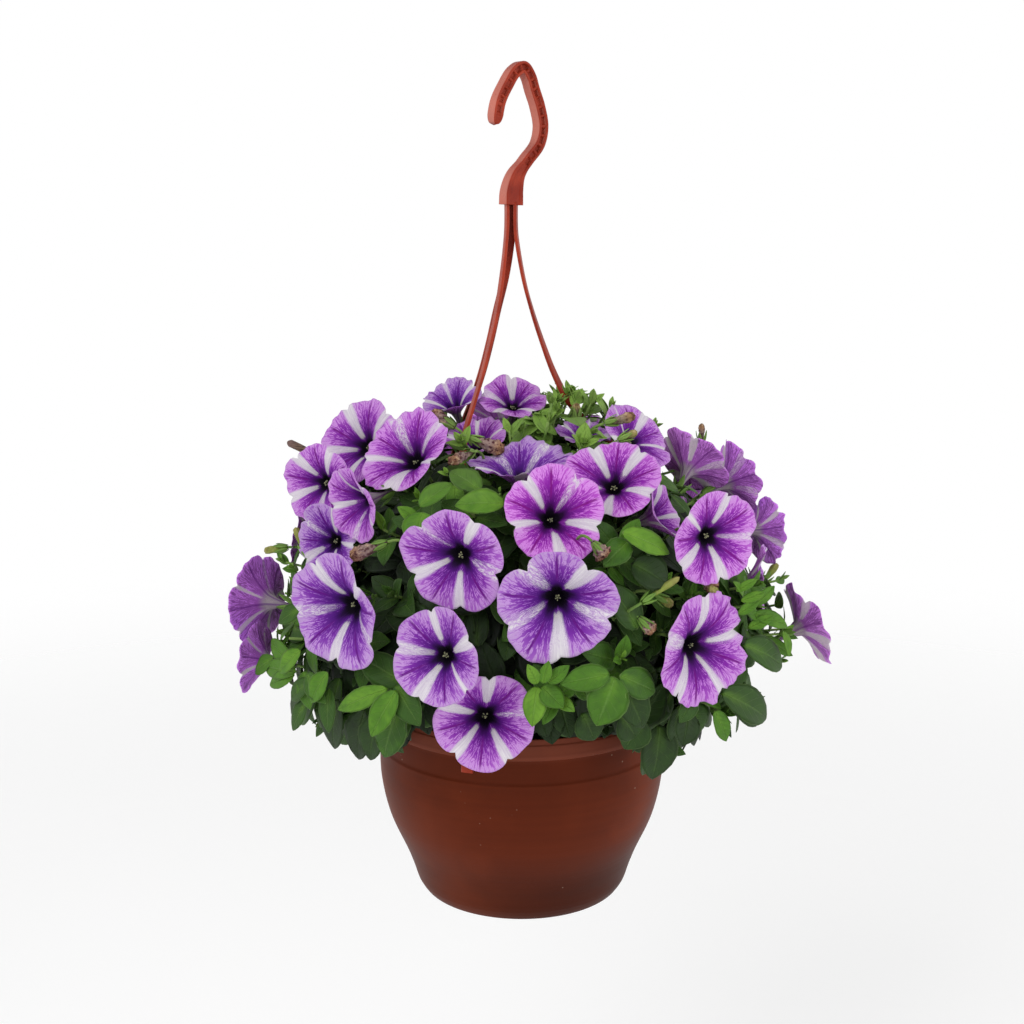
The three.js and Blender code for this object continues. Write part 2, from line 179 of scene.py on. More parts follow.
class Finish(Wire):
    """A material: its Principled shader's constants, and wires that feed its sockets."""

    def __init__(self, name, **constants):
        self.material = bpy.data.materials.new(name)
        self.material.use_nodes = True
        super().__init__(self.material.node_tree)
        self.shader = self.tree.nodes["Principled BSDF"]
        for socket, value in constants.items():
            self.shader.inputs[socket.replace("_", " ")].default_value = value
        self.place = self.node("ShaderNodeTexCoord", out=3)

    def mark(self, name):
        """A number that the mesh carries at each of its points."""
        return self.node("ShaderNodeAttribute", {"attribute_name": name}, out=2)

    def feed(self, **wires):
        """Links wires to the shader's sockets, which are named with _ for each space."""
        for socket, wire in wires.items():
            self.tree.links.new(wire.socket, self.shader.inputs[socket.replace("_", " ")])

    def relief(self, height, depth):
        """Bump from a height wire, at a depth in metres."""
        feed = {"Height": height, "Distance": depth, "Strength": 1.0}
        self.feed(Normal=self.node("ShaderNodeBump", None, feed))


def rgb(red, green, blue):
    """A display colour in 0 to 255 as linear light, with alpha 1."""
    c = np.array([red, green, blue]) / 255
    return (*np.where(c > 0.04045, ((c + 0.055) / 1.055) ** 2.4, c / 12.92), 1)


FLOOR_DROP = 0.35       # below the pot's foot
FLOOR_REACH = 3.0
FLOOR_FADE = (2.6, 0.9)  # the floor is clear at the first distance and solid at the second
floor_z = cad_box[0][2] - FLOOR_DROP
floor_mesh = bpy.data.meshes.new("floor")
corners = [(-1, -1), (1, -1), (1, 1), (-1, 1)]
floor_mesh.from_pydata([(x * FLOOR_REACH, y * FLOOR_REACH, floor_z) for x, y in corners], [],
                       [(0, 1, 2, 3)])
floor = bpy.data.objects.new("floor", floor_mesh)
scene.collection.objects.link(floor)

pale = Finish("pale_floor", Roughness=0.9, Specular_IOR_Level=0.1, Emission_Strength=0.14,
              Base_Color=(0.93, 0.93, 0.93, 1), Emission_Color=(1, 1, 1, 1))
away = pale.node("ShaderNodeVectorMath", {"operation": "LENGTH"},
                 {0: pale.place.stretched((1, 1, 0))}, out=1)
pale.feed(Alpha=away.rise(*FLOOR_FADE))
floor_mesh.materials.append(pale.material)

world = bpy.data.worlds.new("surround")
scene.world = world
world.use_nodes = True
sky = Wire(world.node_tree)
glow = 0.62 + 0.38 * sky.node("ShaderNodeTexCoord").part(2).rise(0.75, 0.3)
background = world.node_tree.nodes["Background"]
world.node_tree.links.new(glow.socket, background.inputs["Strength"])
background.inputs["Color"].default_value = (1, 1, 1, 1)

# ----------------------------------------------------------------------------------- pot
# One injection moulding of brown plastic: a thin bowl with a stout rim band, a shallow
# step under it, a waist, and a foot ring round a floor with six drain holes.
RIM_BAND = 0.015
POT_WALL = 0.002
POT_COLUMNS = 144
pot_low, pot_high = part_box("pot")
rim = pot_high.z - RIM_BAND          # height of the band's lower edge
rim_radius = pot_high.x
foot = pot_low.z - rim               # height of the foot, measured from the band
recess = foot + 0.003                # the floor's underside
floor_top = foot + 0.005


def make_piece(name, grids, material, replaces=(), wrap=False, uv=None, marks=None):
    """One mesh from grids of points (grid, row, column, xyz), riding on the basket. wrap joins
    the last column to the first; rows or grids that meet are merged; marks are numbers a point."""
    grids = np.asarray(grids, float)
    count, rows, cols, _ = grids.shape
    number = np.arange(count * rows * cols).reshape(count, rows, cols)
    right = np.roll(number, -1, axis=2) if wrap else number[:, :, 1:]
    left = number if wrap else number[:, :, :-1]
    quads = np.stack([left[:, :-1], right[:, :-1], right[:, 1:], left[:, 1:]], -1).reshape(-1, 4)
    mesh = bpy.data.meshes.new(name)
    mesh.vertices.add(number.size)
    mesh.vertices.foreach_set("co", grids.ravel())
    mesh.loops.add(quads.size)
    mesh.loops.foreach_set("vertex_index", quads.ravel())
    mesh.polygons.add(len(quads))
    mesh.polygons.foreach_set("loop_start", np.arange(0, quads.size, 4))
    mesh.update(calc_edges=True)
    for key, values in (marks or {}).items():
        spread = np.broadcast_to(values, number.shape).astype(np.float32)
        mesh.attributes.new(key, "FLOAT", "POINT").data.foreach_set("value", spread.ravel())
    if uv is not None:
        layer = mesh.uv_layers.new(name="surface")
        layer.data.foreach_set("uv", np.asarray(uv).reshape(-1, 2)[quads.ravel()].ravel())
    closed = bmesh.new()
    closed.from_mesh(mesh)
    bmesh.ops.remove_doubles(closed, verts=closed.verts, dist=2e-6)
    bmesh.ops.recalc_face_normals(closed, faces=closed.faces)
    closed.to_mesh(mesh)
    closed.free()
    mesh.polygons.foreach_set("use_smooth", np.ones(len(mesh.polygons), bool))
    mesh.materials.append(material)
    piece = bpy.data.objects.new(name, mesh)
    scene.collection.objects.link(piece)
    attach(piece, "root")
    if replaces:
        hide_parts(*replaces)
    return piece


def softened(corners, radius, steps=4):
    """A polyline whose corners are quadratic curves that begin within radius of each corner."""
    corners = np.asarray(corners, float)
    bends = [corners[:1]]
    t = np.linspace(0, 1, steps + 1)[:, None]
    for before, corner, after in zip(corners, corners[1:], corners[2:]):
        into, out = before - corner, after - corner
        start = corner + into * min(0.45, radius / np.linalg.norm(into))
        end = corner + out * min(0.45, radius / np.linalg.norm(out))
        bends.append(start * (1 - t) ** 2 + 2 * corner * t * (1 - t) + end * t ** 2)
    return np.vstack([*bends, corners[-1:]])


def smooth_path(points, count):
    """Even points along a curve through the given ones: a cubic between each two, whose slope
    at a point blends the chords beside it, weighted by the root of their lengths."""
    p = np.asarray(points, float)
    p = np.vstack([2 * p[0] - p[1], p, 2 * p[-1] - p[-2]])
    step = np.linalg.norm(np.diff(p, axis=0), axis=1, keepdims=True) ** 0.5
    chord = np.diff(p, axis=0) / step
    slope = chord[:-1] + chord[1:] - (p[2:] - p[:-2]) / (step[:-1] + step[1:])
    t = np.linspace(0, 1, 40, endpoint=False)[None, :, None]
    a, b = p[1:-2, None], p[2:-1, None]
    da, db = (slope[:-1] * step[1:-1])[:, None], (slope[1:] * step[1:-1])[:, None]
    fine = (a * (2 * t ** 3 - 3 * t ** 2 + 1) + b * (3 * t ** 2 - 2 * t ** 3)
            + da * (t ** 3 - 2 * t ** 2 + t) + db * (t ** 3 - t ** 2))
    fine = np.vstack([fine.reshape(-1, p.shape[1]), p[-2:-1]])
    gone = np.r_[0, np.cumsum(np.linalg.norm(np.diff(fine, axis=0), axis=1))]
    even = np.linspace(0, gone[-1], count)
    return np.stack([np.interp(even, gone, axis) for axis in fine.T], 1)


def turned(profile, steps):
    """A profile of (radius, height) spun round the Z axis, as one grid: rows follow the
    profile, columns go round."""
    angle = np.linspace(0, 2 * np.pi, steps, endpoint=False)
    r, h = np.asarray(profile).T[:, :, None]
    flat = np.zeros_like(angle)
    return np.stack([r * np.cos(angle), r * np.sin(angle), h + flat], -1)[None]


side = smooth_path([(0.1044, -0.0185), (0.104, -0.042), (0.0982, -0.070), (0.0858, -0.099),
                    (0.081, -0.112), (0.0774, -0.123), (0.0734, foot + 0.0025)], 30)
outside = softened([(0.068, foot), (0.0734, foot + 0.0025), *side[-2::-1],
                    (0.1036, -0.0172), (0.1033, -0.016), (0.103, -0.001), (0.103, 0.0),
                    (rim_radius - 0.0003, 0.0), (rim_radius, 0.0022), (rim_radius - 0.0003, 0.0105),
                    (rim_radius - 0.0010, 0.0112), (rim_radius - 0.0012, RIM_BAND),
                    (rim_radius - 0.0038, RIM_BAND), (0.101, 0.0005)], 0.0007)
inside = [(r - POT_WALL, h) for r, h in side[:-3]]
underside = softened([(0.02, recess), (0.056, recess), (0.059, foot), (0.068, foot)], 0.0006)
profile = [(0, recess), *underside, *outside, *inside, (0.072, floor_top), (0, floor_top)]

brown = Finish("brown_plastic", Specular_IOR_Level=0.07)
turning = brown.place.stretched((3, 3, 220)).noise(1.0, 4.0)
cloud = brown.place.noise(14, 3.0)
dust = brown.place.cells(170).rise(0.13, 0.05) * brown.place.noise(45, 1.0).rise(0.60, 0.68)
tone = (cloud.rise(0.35, 0.75) * 0.55 + turning * 0.3).blend(rgb(79, 28, 9), rgb(114, 46, 19))
height = brown.place.part(2)
# painted highlight: the rim band is painted lighter, with a brighter line on its lower edge
band_edge_highlight = height.rise(rim - 0.0004, rim + 0.0006) * height.rise(rim + 0.0040, rim + 0.0020)
band_highlight = height.rise(rim - 0.004, rim + 0.006) * 0.34 + band_edge_highlight * 0.16
tone = band_highlight.blend(tone, rgb(150, 84, 66))
# painted shade: the lower bowl is painted darker towards the foot, more so on the right
foot_shade_side = 0.32 + 0.34 * brown.place.part(0).rise(-0.06, 0.05)
tone = (height.rise(rim - 0.066, rim - 0.110) * foot_shade_side).blend(tone, rgb(38, 14, 6))
tone = (dust * 0.35).blend(tone, rgb(190, 165, 145))
brown.feed(Base_Color=tone, Roughness=0.36 + 0.14 * cloud + 0.1 * turning)
brown.relief(turning * 0.6 + brown.place.noise(900, 1.0) * 0.4, 0.00012)

pot_grid = turned(profile, POT_COLUMNS)
pot_grid[..., 2] += rim
pot = make_piece("flower_pot", pot_grid, brown.material, ["pot"], wrap=True)

DRAIN_HOLES = 6
DRAIN_RADIUS = 0.004
DRAIN_CIRCLE = 0.040
drill = bmesh.new()
for angle in np.radians(np.arange(DRAIN_HOLES) * 360 / DRAIN_HOLES):
    made = bmesh.ops.create_cone(drill, cap_ends=True, segments=32, radius1=DRAIN_RADIUS,
                                 radius2=DRAIN_RADIUS, depth=0.02)
    centre = (DRAIN_CIRCLE * np.sin(angle), -DRAIN_CIRCLE * np.cos(angle), rim + foot)
    bmesh.ops.translate(drill, verts=made["verts"], vec=centre)
drill_mesh = bpy.data.meshes.new("drill")
drill.to_mesh(drill_mesh)
drill.free()
drills = bpy.data.objects.new("drill", drill_mesh)
scene.collection.objects.link(drills)
cut = pot.modifiers.new("drain_holes", "BOOLEAN")
cut.object = drills
cut.operation = "DIFFERENCE"
cut.solver = "EXACT"
drilled = bpy.data.meshes.new_from_object(pot.evaluated_get(bpy.context.evaluated_depsgraph_get()))
pot.modifiers.clear()
pot.data = drilled
bpy.data.objects.remove(drills)

# ---------------------------------------------------------------------------------- soil
# Dark peat that fills the pot to just under the rim, crumbly on top, with a few white
# grains of perlite.
SOIL_RADIUS = 0.1003
SOIL_ROWS, SOIL_COLUMNS = 46, 150
CRUMB = 0.0012
rng = np.random.default_rng(7)
soil_low, soil_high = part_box("potting_soil")
soil_foot = soil_low.z + 0.001
out = np.linspace(0, 1, SOIL_ROWS)
angle = np.linspace(0, 2 * np.pi, SOIL_COLUMNS, endpoint=False)
lumps = rng.normal(0, CRUMB, (SOIL_ROWS, SOIL_COLUMNS))
lumps = lumps + rng.normal(0, CRUMB, (SOIL_ROWS // 2, SOIL_COLUMNS // 3)).repeat(2, 0).repeat(3, 1)
swell = (soil_high.z - 0.0035 - 0.006 * out ** 2)[:, None] + lumps * (out > 0)[:, None]
swell[0] = swell[0, 0]
ring = out[:, None] * SOIL_RADIUS
top = np.stack([ring * np.cos(angle), ring * np.sin(angle), swell], -1)
wall = turned([(SOIL_RADIUS, rim - 0.018), (0.0985, rim - 0.055), (0.09, rim - 0.085),
               (0.072, soil_foot), (0.0, soil_foot)], SOIL_COLUMNS)[0]

peat = Finish("potting_soil", Roughness=0.95, Specular_IOR_Level=0.15)
crumb = peat.place.noise(260, 4.0, 0.7)
perlite = peat.place.cells(190).rise(0.16, 0.1) * peat.place.noise(60, 0.0).rise(0.62, 0.66)
dark = crumb.blend(rgb(22, 16, 12), rgb(72, 54, 40))
peat.feed(Base_Color=perlite.blend(dark, rgb(205, 200, 190)))
peat.relief(crumb, 0.0015)
make_piece("potting_mix", np.vstack([top, wall])[None], peat.material,
           ["potting_soil"], wrap=True)

# ---------------------------------------------------------------------------------- hook
# Terracotta plastic, moulded in one with the straps: an I-beam bent into a narrow hook,
# hollowed on both sides into a row of ragged pockets, and widened to a sleeve at its foot.
HOOK_TURN = np.radians(38)
HOOK_DEPTH = 0.0043             # half the beam's depth
HOOK_HALF = 0.0039              # half its thickness
SLEEVE_HALF = 0.0072
SLEEVE_REACH = 0.030
NOSE_REACH = 0.0075             # the tip is rounded over this length
WEB = 0.0009                    # half the web between the pockets
LIP = 0.0017
TROUGH = 0.0007                 # depth of the groove that the pockets lie in
POCKETS = 19
POCKET_START, POCKET_END = 0.05, 0.80       # as shares of the hook's length
hook_line = smooth_path([(-0.0238, -0.0345), (-0.0203, -0.0195), (-0.014, -0.0085),
                         (-0.007, 0.0006), (0, 0.0039), (0.0054, -0.0016), (0.0092, -0.011),
                         (0.0136, -0.0215), (0.0166, -0.035), (0.0136, -0.047),
                         (0.0034, -0.0582), (-0.0054, -0.0685), (-0.0088, -0.079),
                         (-0.0093, -0.0882)], 460)


def carried(path, half_width, half_depth, section, cave):
    """A section of (side, depth) shares carried along a plane path of (x, z): each point is
    the path's point + side * half_width * the path's normal, and depth * half_depth across
    the plane, less cave. Returns (row, column, xyz) before the plane is turned."""
    along = np.gradient(path, axis=0)
    along /= np.linalg.norm(along, axis=1, keepdims=True)
    normal = np.stack([along[:, 1], -along[:, 0]], 1)
    wide = section[:, 0] * half_width[:, None]
    deep = section[:, 1] * half_depth[:, None] - cave
    flat = path[:, None] + wide[..., None] * normal[:, None]
    return np.stack([flat[..., 0], deep, flat[..., 1]], -1)


def about_axis(grid, angle):
    """Turns points about the Z axis."""
    turn = np.array([[np.cos(angle), np.sin(angle), 0], [-np.sin(angle), np.cos(angle), 0],
                     [0, 0, 1]])
    return grid @ turn


def capped(grid, drop=0.0):
    """A tube's rows with one more at each end, drawn together at the row's middle; the first
    is lowered by drop."""
    ends = [grid[k].mean(0, keepdims=True).repeat(grid.shape[1], 0) for k in (0, -1)]
    return np.concatenate([(ends[0] - (0, 0, drop))[None], grid, ends[1][None]])


gone = np.linspace(0, 1, len(hook_line))
hook_length = np.linalg.norm(np.diff(hook_line, axis=0), axis=1).sum()
flare = np.clip(1 - (1 - gone) * hook_length / SLEEVE_REACH, 0, 1)
half = HOOK_HALF + (SLEEVE_HALF - HOOK_HALF) * flare ** 1.5 * (3 - 2 * flare)
half = np.minimum(half, SLEEVE_HALF)
nose = np.sqrt(1 - (1 - np.clip(gone * hook_length / NOSE_REACH, 0, 1)) ** 2)
half = half * (0.25 + 0.75 * nose)
depth = HOOK_DEPTH * (0.55 + 0.45 * nose) + 0.0006 * flare

lip = 1 - LIP / HOOK_HALF
quarter = np.array([(1, 0), (1, 0.55), (1, 0.86), (0.96, 0.97), (0.88, 1), (lip + 0.05, 1),
                    (lip, 0.985), (lip - 0.05, 0.9), (lip - 0.1, 0.9), (lip - 0.3, 0.9), (0, 0.9)])
half_turn = np.vstack([quarter, quarter[-2:0:-1] * (-1, 1), [(-1, 0)]])
section = np.vstack([half_turn, half_turn[-2:0:-1] * (1, -1)])
inner = np.clip((lip - 0.02 - np.abs(section[:, 0])) / 0.05, 0, 1)

reach = np.clip(gone / POCKET_END, 0, 1) * POCKETS
# each pocket has its own start and depth, which are the first of the two rows drawn
ragged = rng.uniform(0.02, 0.30, (2, POCKETS + 1))[0, reach.astype(int)]
shallow = rng.uniform(0.5, 1.0, (2, POCKETS + 1))[0, reach.astype(int)]
beat = reach % 1
hollow = np.clip((beat - ragged) / 0.12, 0, 1) * np.clip((0.98 - beat) / 0.1, 0, 1) * shallow
hollow = hollow * (gone > POCKET_START) * (gone < POCKET_END)
trough = np.clip((gone - 0.035) / 0.01, 0, 1) * np.clip((0.90 - gone) / 0.03, 0, 1)
sunk = TROUGH * trough + (HOOK_DEPTH * 0.9 - WEB - TROUGH) * hollow
cave = sunk[:, None] * inner * np.sign(section[:, 1])
hook_grid = about_axis(capped(carried(hook_line, half, depth, section, cave), 0.0008), HOOK_TURN)

clay = Finish("terracotta_plastic", Specular_IOR_Level=0.14)
smear = clay.place.noise(60, 3.0)
tone = smear.rise(0.3, 0.7).blend(rgb(128, 35, 18), rgb(158, 56, 34))
# painted highlight: faces turned to the left, towards the main lamp, are painted pale pink, less so
# on the straps
to_left = clay.node("ShaderNodeNewGeometry", out=1).part(0).rise(-0.25, -0.8)
left_highlight_strength = 0.12 + 0.38 * clay.place.part(2).rise(-0.100, -0.080)
tone = (to_left * left_highlight_strength).blend(tone, rgb(218, 144, 128))
grime = clay.place.noise(330, 2.0).rise(0.62, 0.75) * 0.25
clay.feed(Base_Color=grime.blend(tone, rgb(112, 44, 34)), Roughness=0.34 + 0.2 * smear)
clay.relief(clay.place.noise(500, 2.0), 0.0001)
make_piece("hook", hook_grid[None], clay.material, ["hanger_hook"], wrap=True)

# -------------------------------------------------------------------------------- straps
# Three flat straps leave the sleeve together, open out over the plant, and come down
# outside the rim, where a toe on each turns inwards and hooks under the rim band.
STRAP_HALF = 0.00325
STRAP_THICK = 0.0011            # half its thickness
CLIP_WIDER = 0.0009             # added to these halves at the clip
CLIP_THICKER = 0.0002
CLIP_RADIUS = 0.1074
hub = np.array([np.cos(HOOK_TURN), np.sin(HOOK_TURN)]) * hook_line[-1, 0]
hub_height = hook_line[-1, 1] - rim
SHANK_OUT, OPEN_OUT, FALL_OUT = 0.0032, 0.012, 0.035   # where it leaves, opens and comes down
# a strap's distance out and its height above the rim band's lower edge; out is measured from
# the hub at first, and from the pot's axis at last
FALL = [(SHANK_OUT, hub_height + 0.002), (SHANK_OUT, hub_height - 0.012),
        (0.0038, hub_height - 0.022), (0.009, 0.316), (0.015, 0.294), (0.022, 0.273),
        (0.030, 0.252), (0.0395, 0.233), (0.052, 0.216), (0.068, 0.200), (0.085, 0.181),
        (0.099, 0.155), (0.107, 0.120), (0.1105, 0.080), (0.1105, 0.045), (0.1094, 0.022),
        (CLIP_RADIUS, 0.010), (CLIP_RADIUS, -0.009)]
HUB_TO_AXIS = (0.030, 0.100)    # distances out between which the hub's offset fades away
UNTWIST = (0.060, 0.100)        # and those between which its twist does
WIDENING = (0.021, 0.015)       # heights over its end between which it widens to the clip
# azimuths at the shank, where it opens out and at the clip, and how far it has turned on
# itself at three distances from the shank
SWING = {"front": (-62, -42, -20), "right": (84, 88, 94), "rear": (-172, -137, -146)}
TWIST_AT = (SHANK_OUT, OPEN_OUT, 0.040)
TWIST = {"front": (10, 28, 30), "right": (6, 6, 34), "rear": (0, 0, 0)}
TOE_HALF = 0.0027
toe_root = CLIP_RADIUS - STRAP_THICK        # the strap's inner face
toe_foot = rim - 0.0087
toe_top = rim - 0.0007


def step(value, low, high):
    """0 below low, 1 above high and smooth between."""
    t = np.clip((value - low) / (high - low), 0, 1)
    return t * t * (3 - 2 * t)


def swung(angles, out):
    """A strap's azimuth at a distance out: from its first angle at the shank, through its
    second where it opens out, to its third at the clip."""
    start, opened, clip = np.radians(angles)
    return (start + (opened - start) * step(out, SHANK_OUT, OPEN_OUT)
            + (clip - opened) * step(out, FALL_OUT, CLIP_RADIUS))


def ribbon(path, aim, half_width, half_thick, section):
    """A section of (across, through) shares carried along a path in space: across lies level
    at right angles to the aim angle, through is square to it and to the path."""
    along = np.gradient(path, axis=0)
    along /= np.linalg.norm(along, axis=1, keepdims=True)
    level = np.stack([np.cos(aim), np.sin(aim), np.zeros_like(aim)], 1)
    level -= along * (level * along).sum(1, keepdims=True)
    level /= np.linalg.norm(level, axis=1, keepdims=True)
    out = np.cross(level, along)
    return (path[:, None] + section[:, :1] * level[:, None] * half_width[:, None, None]
            + section[:, 1:] * out[:, None] * half_thick[:, None, None])


strap_section = softened([(1, 0), (1, 1), (-1, 1), (-1, -1), (1, -1), (1, 0)], 0.35, 3)[:-1]
toe_line = [(toe_root + 0.0005, toe_foot), (toe_root - 0.0004, toe_foot), (0.1037, rim - 0.0042),
            (0.1036, toe_top), (toe_root + 0.0005, toe_top)]
toe = softened([*toe_line, toe_line[0]], 0.0004, 3)
toe = np.stack([np.zeros(len(toe)), -toe[:, 0], toe[:, 1]], 1)
toe_slices = np.array([(-1, 0, 0), (-0.92, 0, 0), (0.92, 0, 0), (1, 0, 0)]) * TOE_HALF
toe = capped(toe + toe_slices[:, None])[:, :-1]
strap_lines = {}
for name, angles in SWING.items():
    out, height = np.array(FALL).T
    turn = swung(angles, out)
    centred = 1 - step(out, *HUB_TO_AXIS)
    points = np.stack([out * np.sin(turn) + hub[0] * centred, -out * np.cos(turn) + hub[1] * centred,
                       height + rim], 1)
    line = smooth_path(points, 150)
    strap_lines[name] = line
    from_pot = np.hypot(line[:, 0], line[:, 1])
    from_hub = np.hypot(line[:, 0] - hub[0], line[:, 1] - hub[1])
    aim = swung(angles, np.where(from_pot > UNTWIST[0], from_pot, from_hub))
    twist = np.radians(np.interp(from_hub, TWIST_AT, TWIST[name]))
    aim = aim - twist * (1 - step(from_pot, *UNTWIST))
    clip = step(line[:, 2] - line[-1, 2], *WIDENING)
    blade = capped(ribbon(line, aim, STRAP_HALF + CLIP_WIDER * clip,
                          STRAP_THICK + CLIP_THICKER * clip, strap_section))
    make_piece("strap_" + name, blade[None], clay.material,
               ["hanger_strap_" + name], wrap=True)
    make_piece("clip_toe_" + name, about_axis(toe, np.radians(angles[2]))[None], clay.material,
               wrap=True)

# ------------------------------------------------------------------------------- flowers
# Each flower is one fused corolla: a slender tube that opens into five broad lobes. Petals
# are dark violet at the throat, netted with veins, lilac at the edge, and white along the
# five seams. The corolla is one closed skin about half a millimetre thick.
FLOWERS = 37
LOBES = 5
ROUND = 16 * LOBES
TUBE_LENGTH = 0.026
TUBE_DEPTH = 0.3                # the tube starts this share of the radius behind the edge
TUBE_FOOT = 0.0014              # the tube's radius at its foot
TUBE_NECK = 0.185               # and where it meets the limb, as a share of the radius
LIMB_DEPTH = 0.6                # depth of the limb's funnel, as a share of the radius
MOUTH = 0.15                    # the throat's opening, as a share of the radius


def read_flower(node):
    """Centre, facing direction, direction to the lobe nearest the top, radius and tube foot
    of a flower, from its solid: the foot is the tightest cluster of points, and the rim's
    ten points are the ones farthest from it."""
    points = np.empty(len(node.data.vertices) * 3)
    node.data.vertices.foreach_get("co", points)
    points = np.unique(points.reshape(-1, 3).round(6), axis=0)
    near = np.sort(np.linalg.norm(points[:, None] - points, axis=2), axis=1)[:, 2 * LOBES]
    base = points[near.argmin()]
    edge = points[np.linalg.norm(points - base, axis=1).argsort()[-2 * LOBES:]]
    middle = edge.mean(0)
    ahead = (middle - base) / np.linalg.norm(middle - base)
    spokes = edge - middle
    tips = spokes[np.linalg.norm(spokes, axis=1).argsort()[-LOBES:]]
    level = np.array([0.0, 0.0, 1.0]) - ahead * ahead[2] + 1e-6
    lead = tips[(tips @ level).argmax()]
    lead = lead - ahead * (lead @ ahead)
    return middle, ahead, lead / np.linalg.norm(lead), np.linalg.norm(tips, axis=1).mean(), base


# hue from violet 0 to magenta 1, width of the white stripes, ruffle and cupping of each bloom
BLOOM_LOOKS = {
    1: (0.15, 0.8, 1.3, 1.6), 2: (0.6, 1.0, 1.3, 1.0), 3: (0.7, 1.0, 1.0, 1.25),
    4: (0.6, 0.9, 1.2, 1.0), 5: (0.6, 0.8, 1.4, 1.4), 6: (0.15, 0.8, 1.3, 1.0),
    7: (0.2, 0.9, 1.1, 1.2), 8: (0.2, 0.5, 0.15, 0.9), 9: (0.1, 0.5, 0.9, 1.0),
    10: (0.4, 0.9, 0.9, 0.95), 11: (0.3, 0.85, 1.0, 0.9), 12: (0.5, 0.8, 1.1, 1.1),
    13: (0.25, 1.2, 0.8, 1.2), 14: (1.0, 1.2, 0.9, 1.1), 15: (0.85, 1.05, 1.1, 1.0),
    16: (0.1, 1.0, 2.4, 1.0), 17: (0.6, 0.9, 1.4, 1.0), 18: (0.5, 0.6, 3.0, 1.3),
    19: (0.3, 0.8, 2.4, 1.0), 20: (0.5, 0.8, 1.4, 0.9), 21: (0.4, 1.1, 1.8, 1.0),
    22: (0.3, 1.0, 1.6, 1.0), 23: (0.15, 0.8, 1.6, 1.0), 24: (0.6, 0.9, 1.2, 1.5),
    25: (0.75, 1.0, 1.0, 0.8), 26: (0.6, 1.0, 1.2, 1.0), 27: (0.4, 0.8, 1.6, 1.0),
    28: (0.5, 1.0, 1.8, 0.55), 29: (0.3, 0.7, 1.2, 1.0),
}
PLAIN_LOOK = (0.4, 0.9, 1.2, 1.0)
# parts of a limb folded forward: bloom, direction in degrees clockwise from its top, reach
FOLDS = {7: (75, 0.16), 26: (75, -0.30), 16: (180, 0.24), 1: (150, 0.35), 3: (110, 0.22),
         24: (200, 0.35), 18: (170, 0.35), 19: (180, 0.3), 11: (20, 0.3), 12: (0, 0.2),
         22: (60, 0.3), 21: (40, 0.35), 2: (130, 0.2), 28: (100, 0.3)}

turn_u = np.linspace(0, 2 * np.pi, ROUND, endpoint=False)
within = (turn_u / (2 * np.pi) * LOBES + 0.5) % 1 * 2 - 1      # 0 mid-lobe, -1 and 1 at notches
seam = np.abs(within)
lobe = (turn_u / (2 * np.pi) * LOBES + 0.5).astype(int) % LOBES


def funnel(x):
    """How far a limb lies behind its edge at shares x of the radius, from 0 at the edge."""
    x = np.clip(x, 0, 1)
    return (1 - x) * 0.30 + (1 - x) ** 2.6 * 0.70


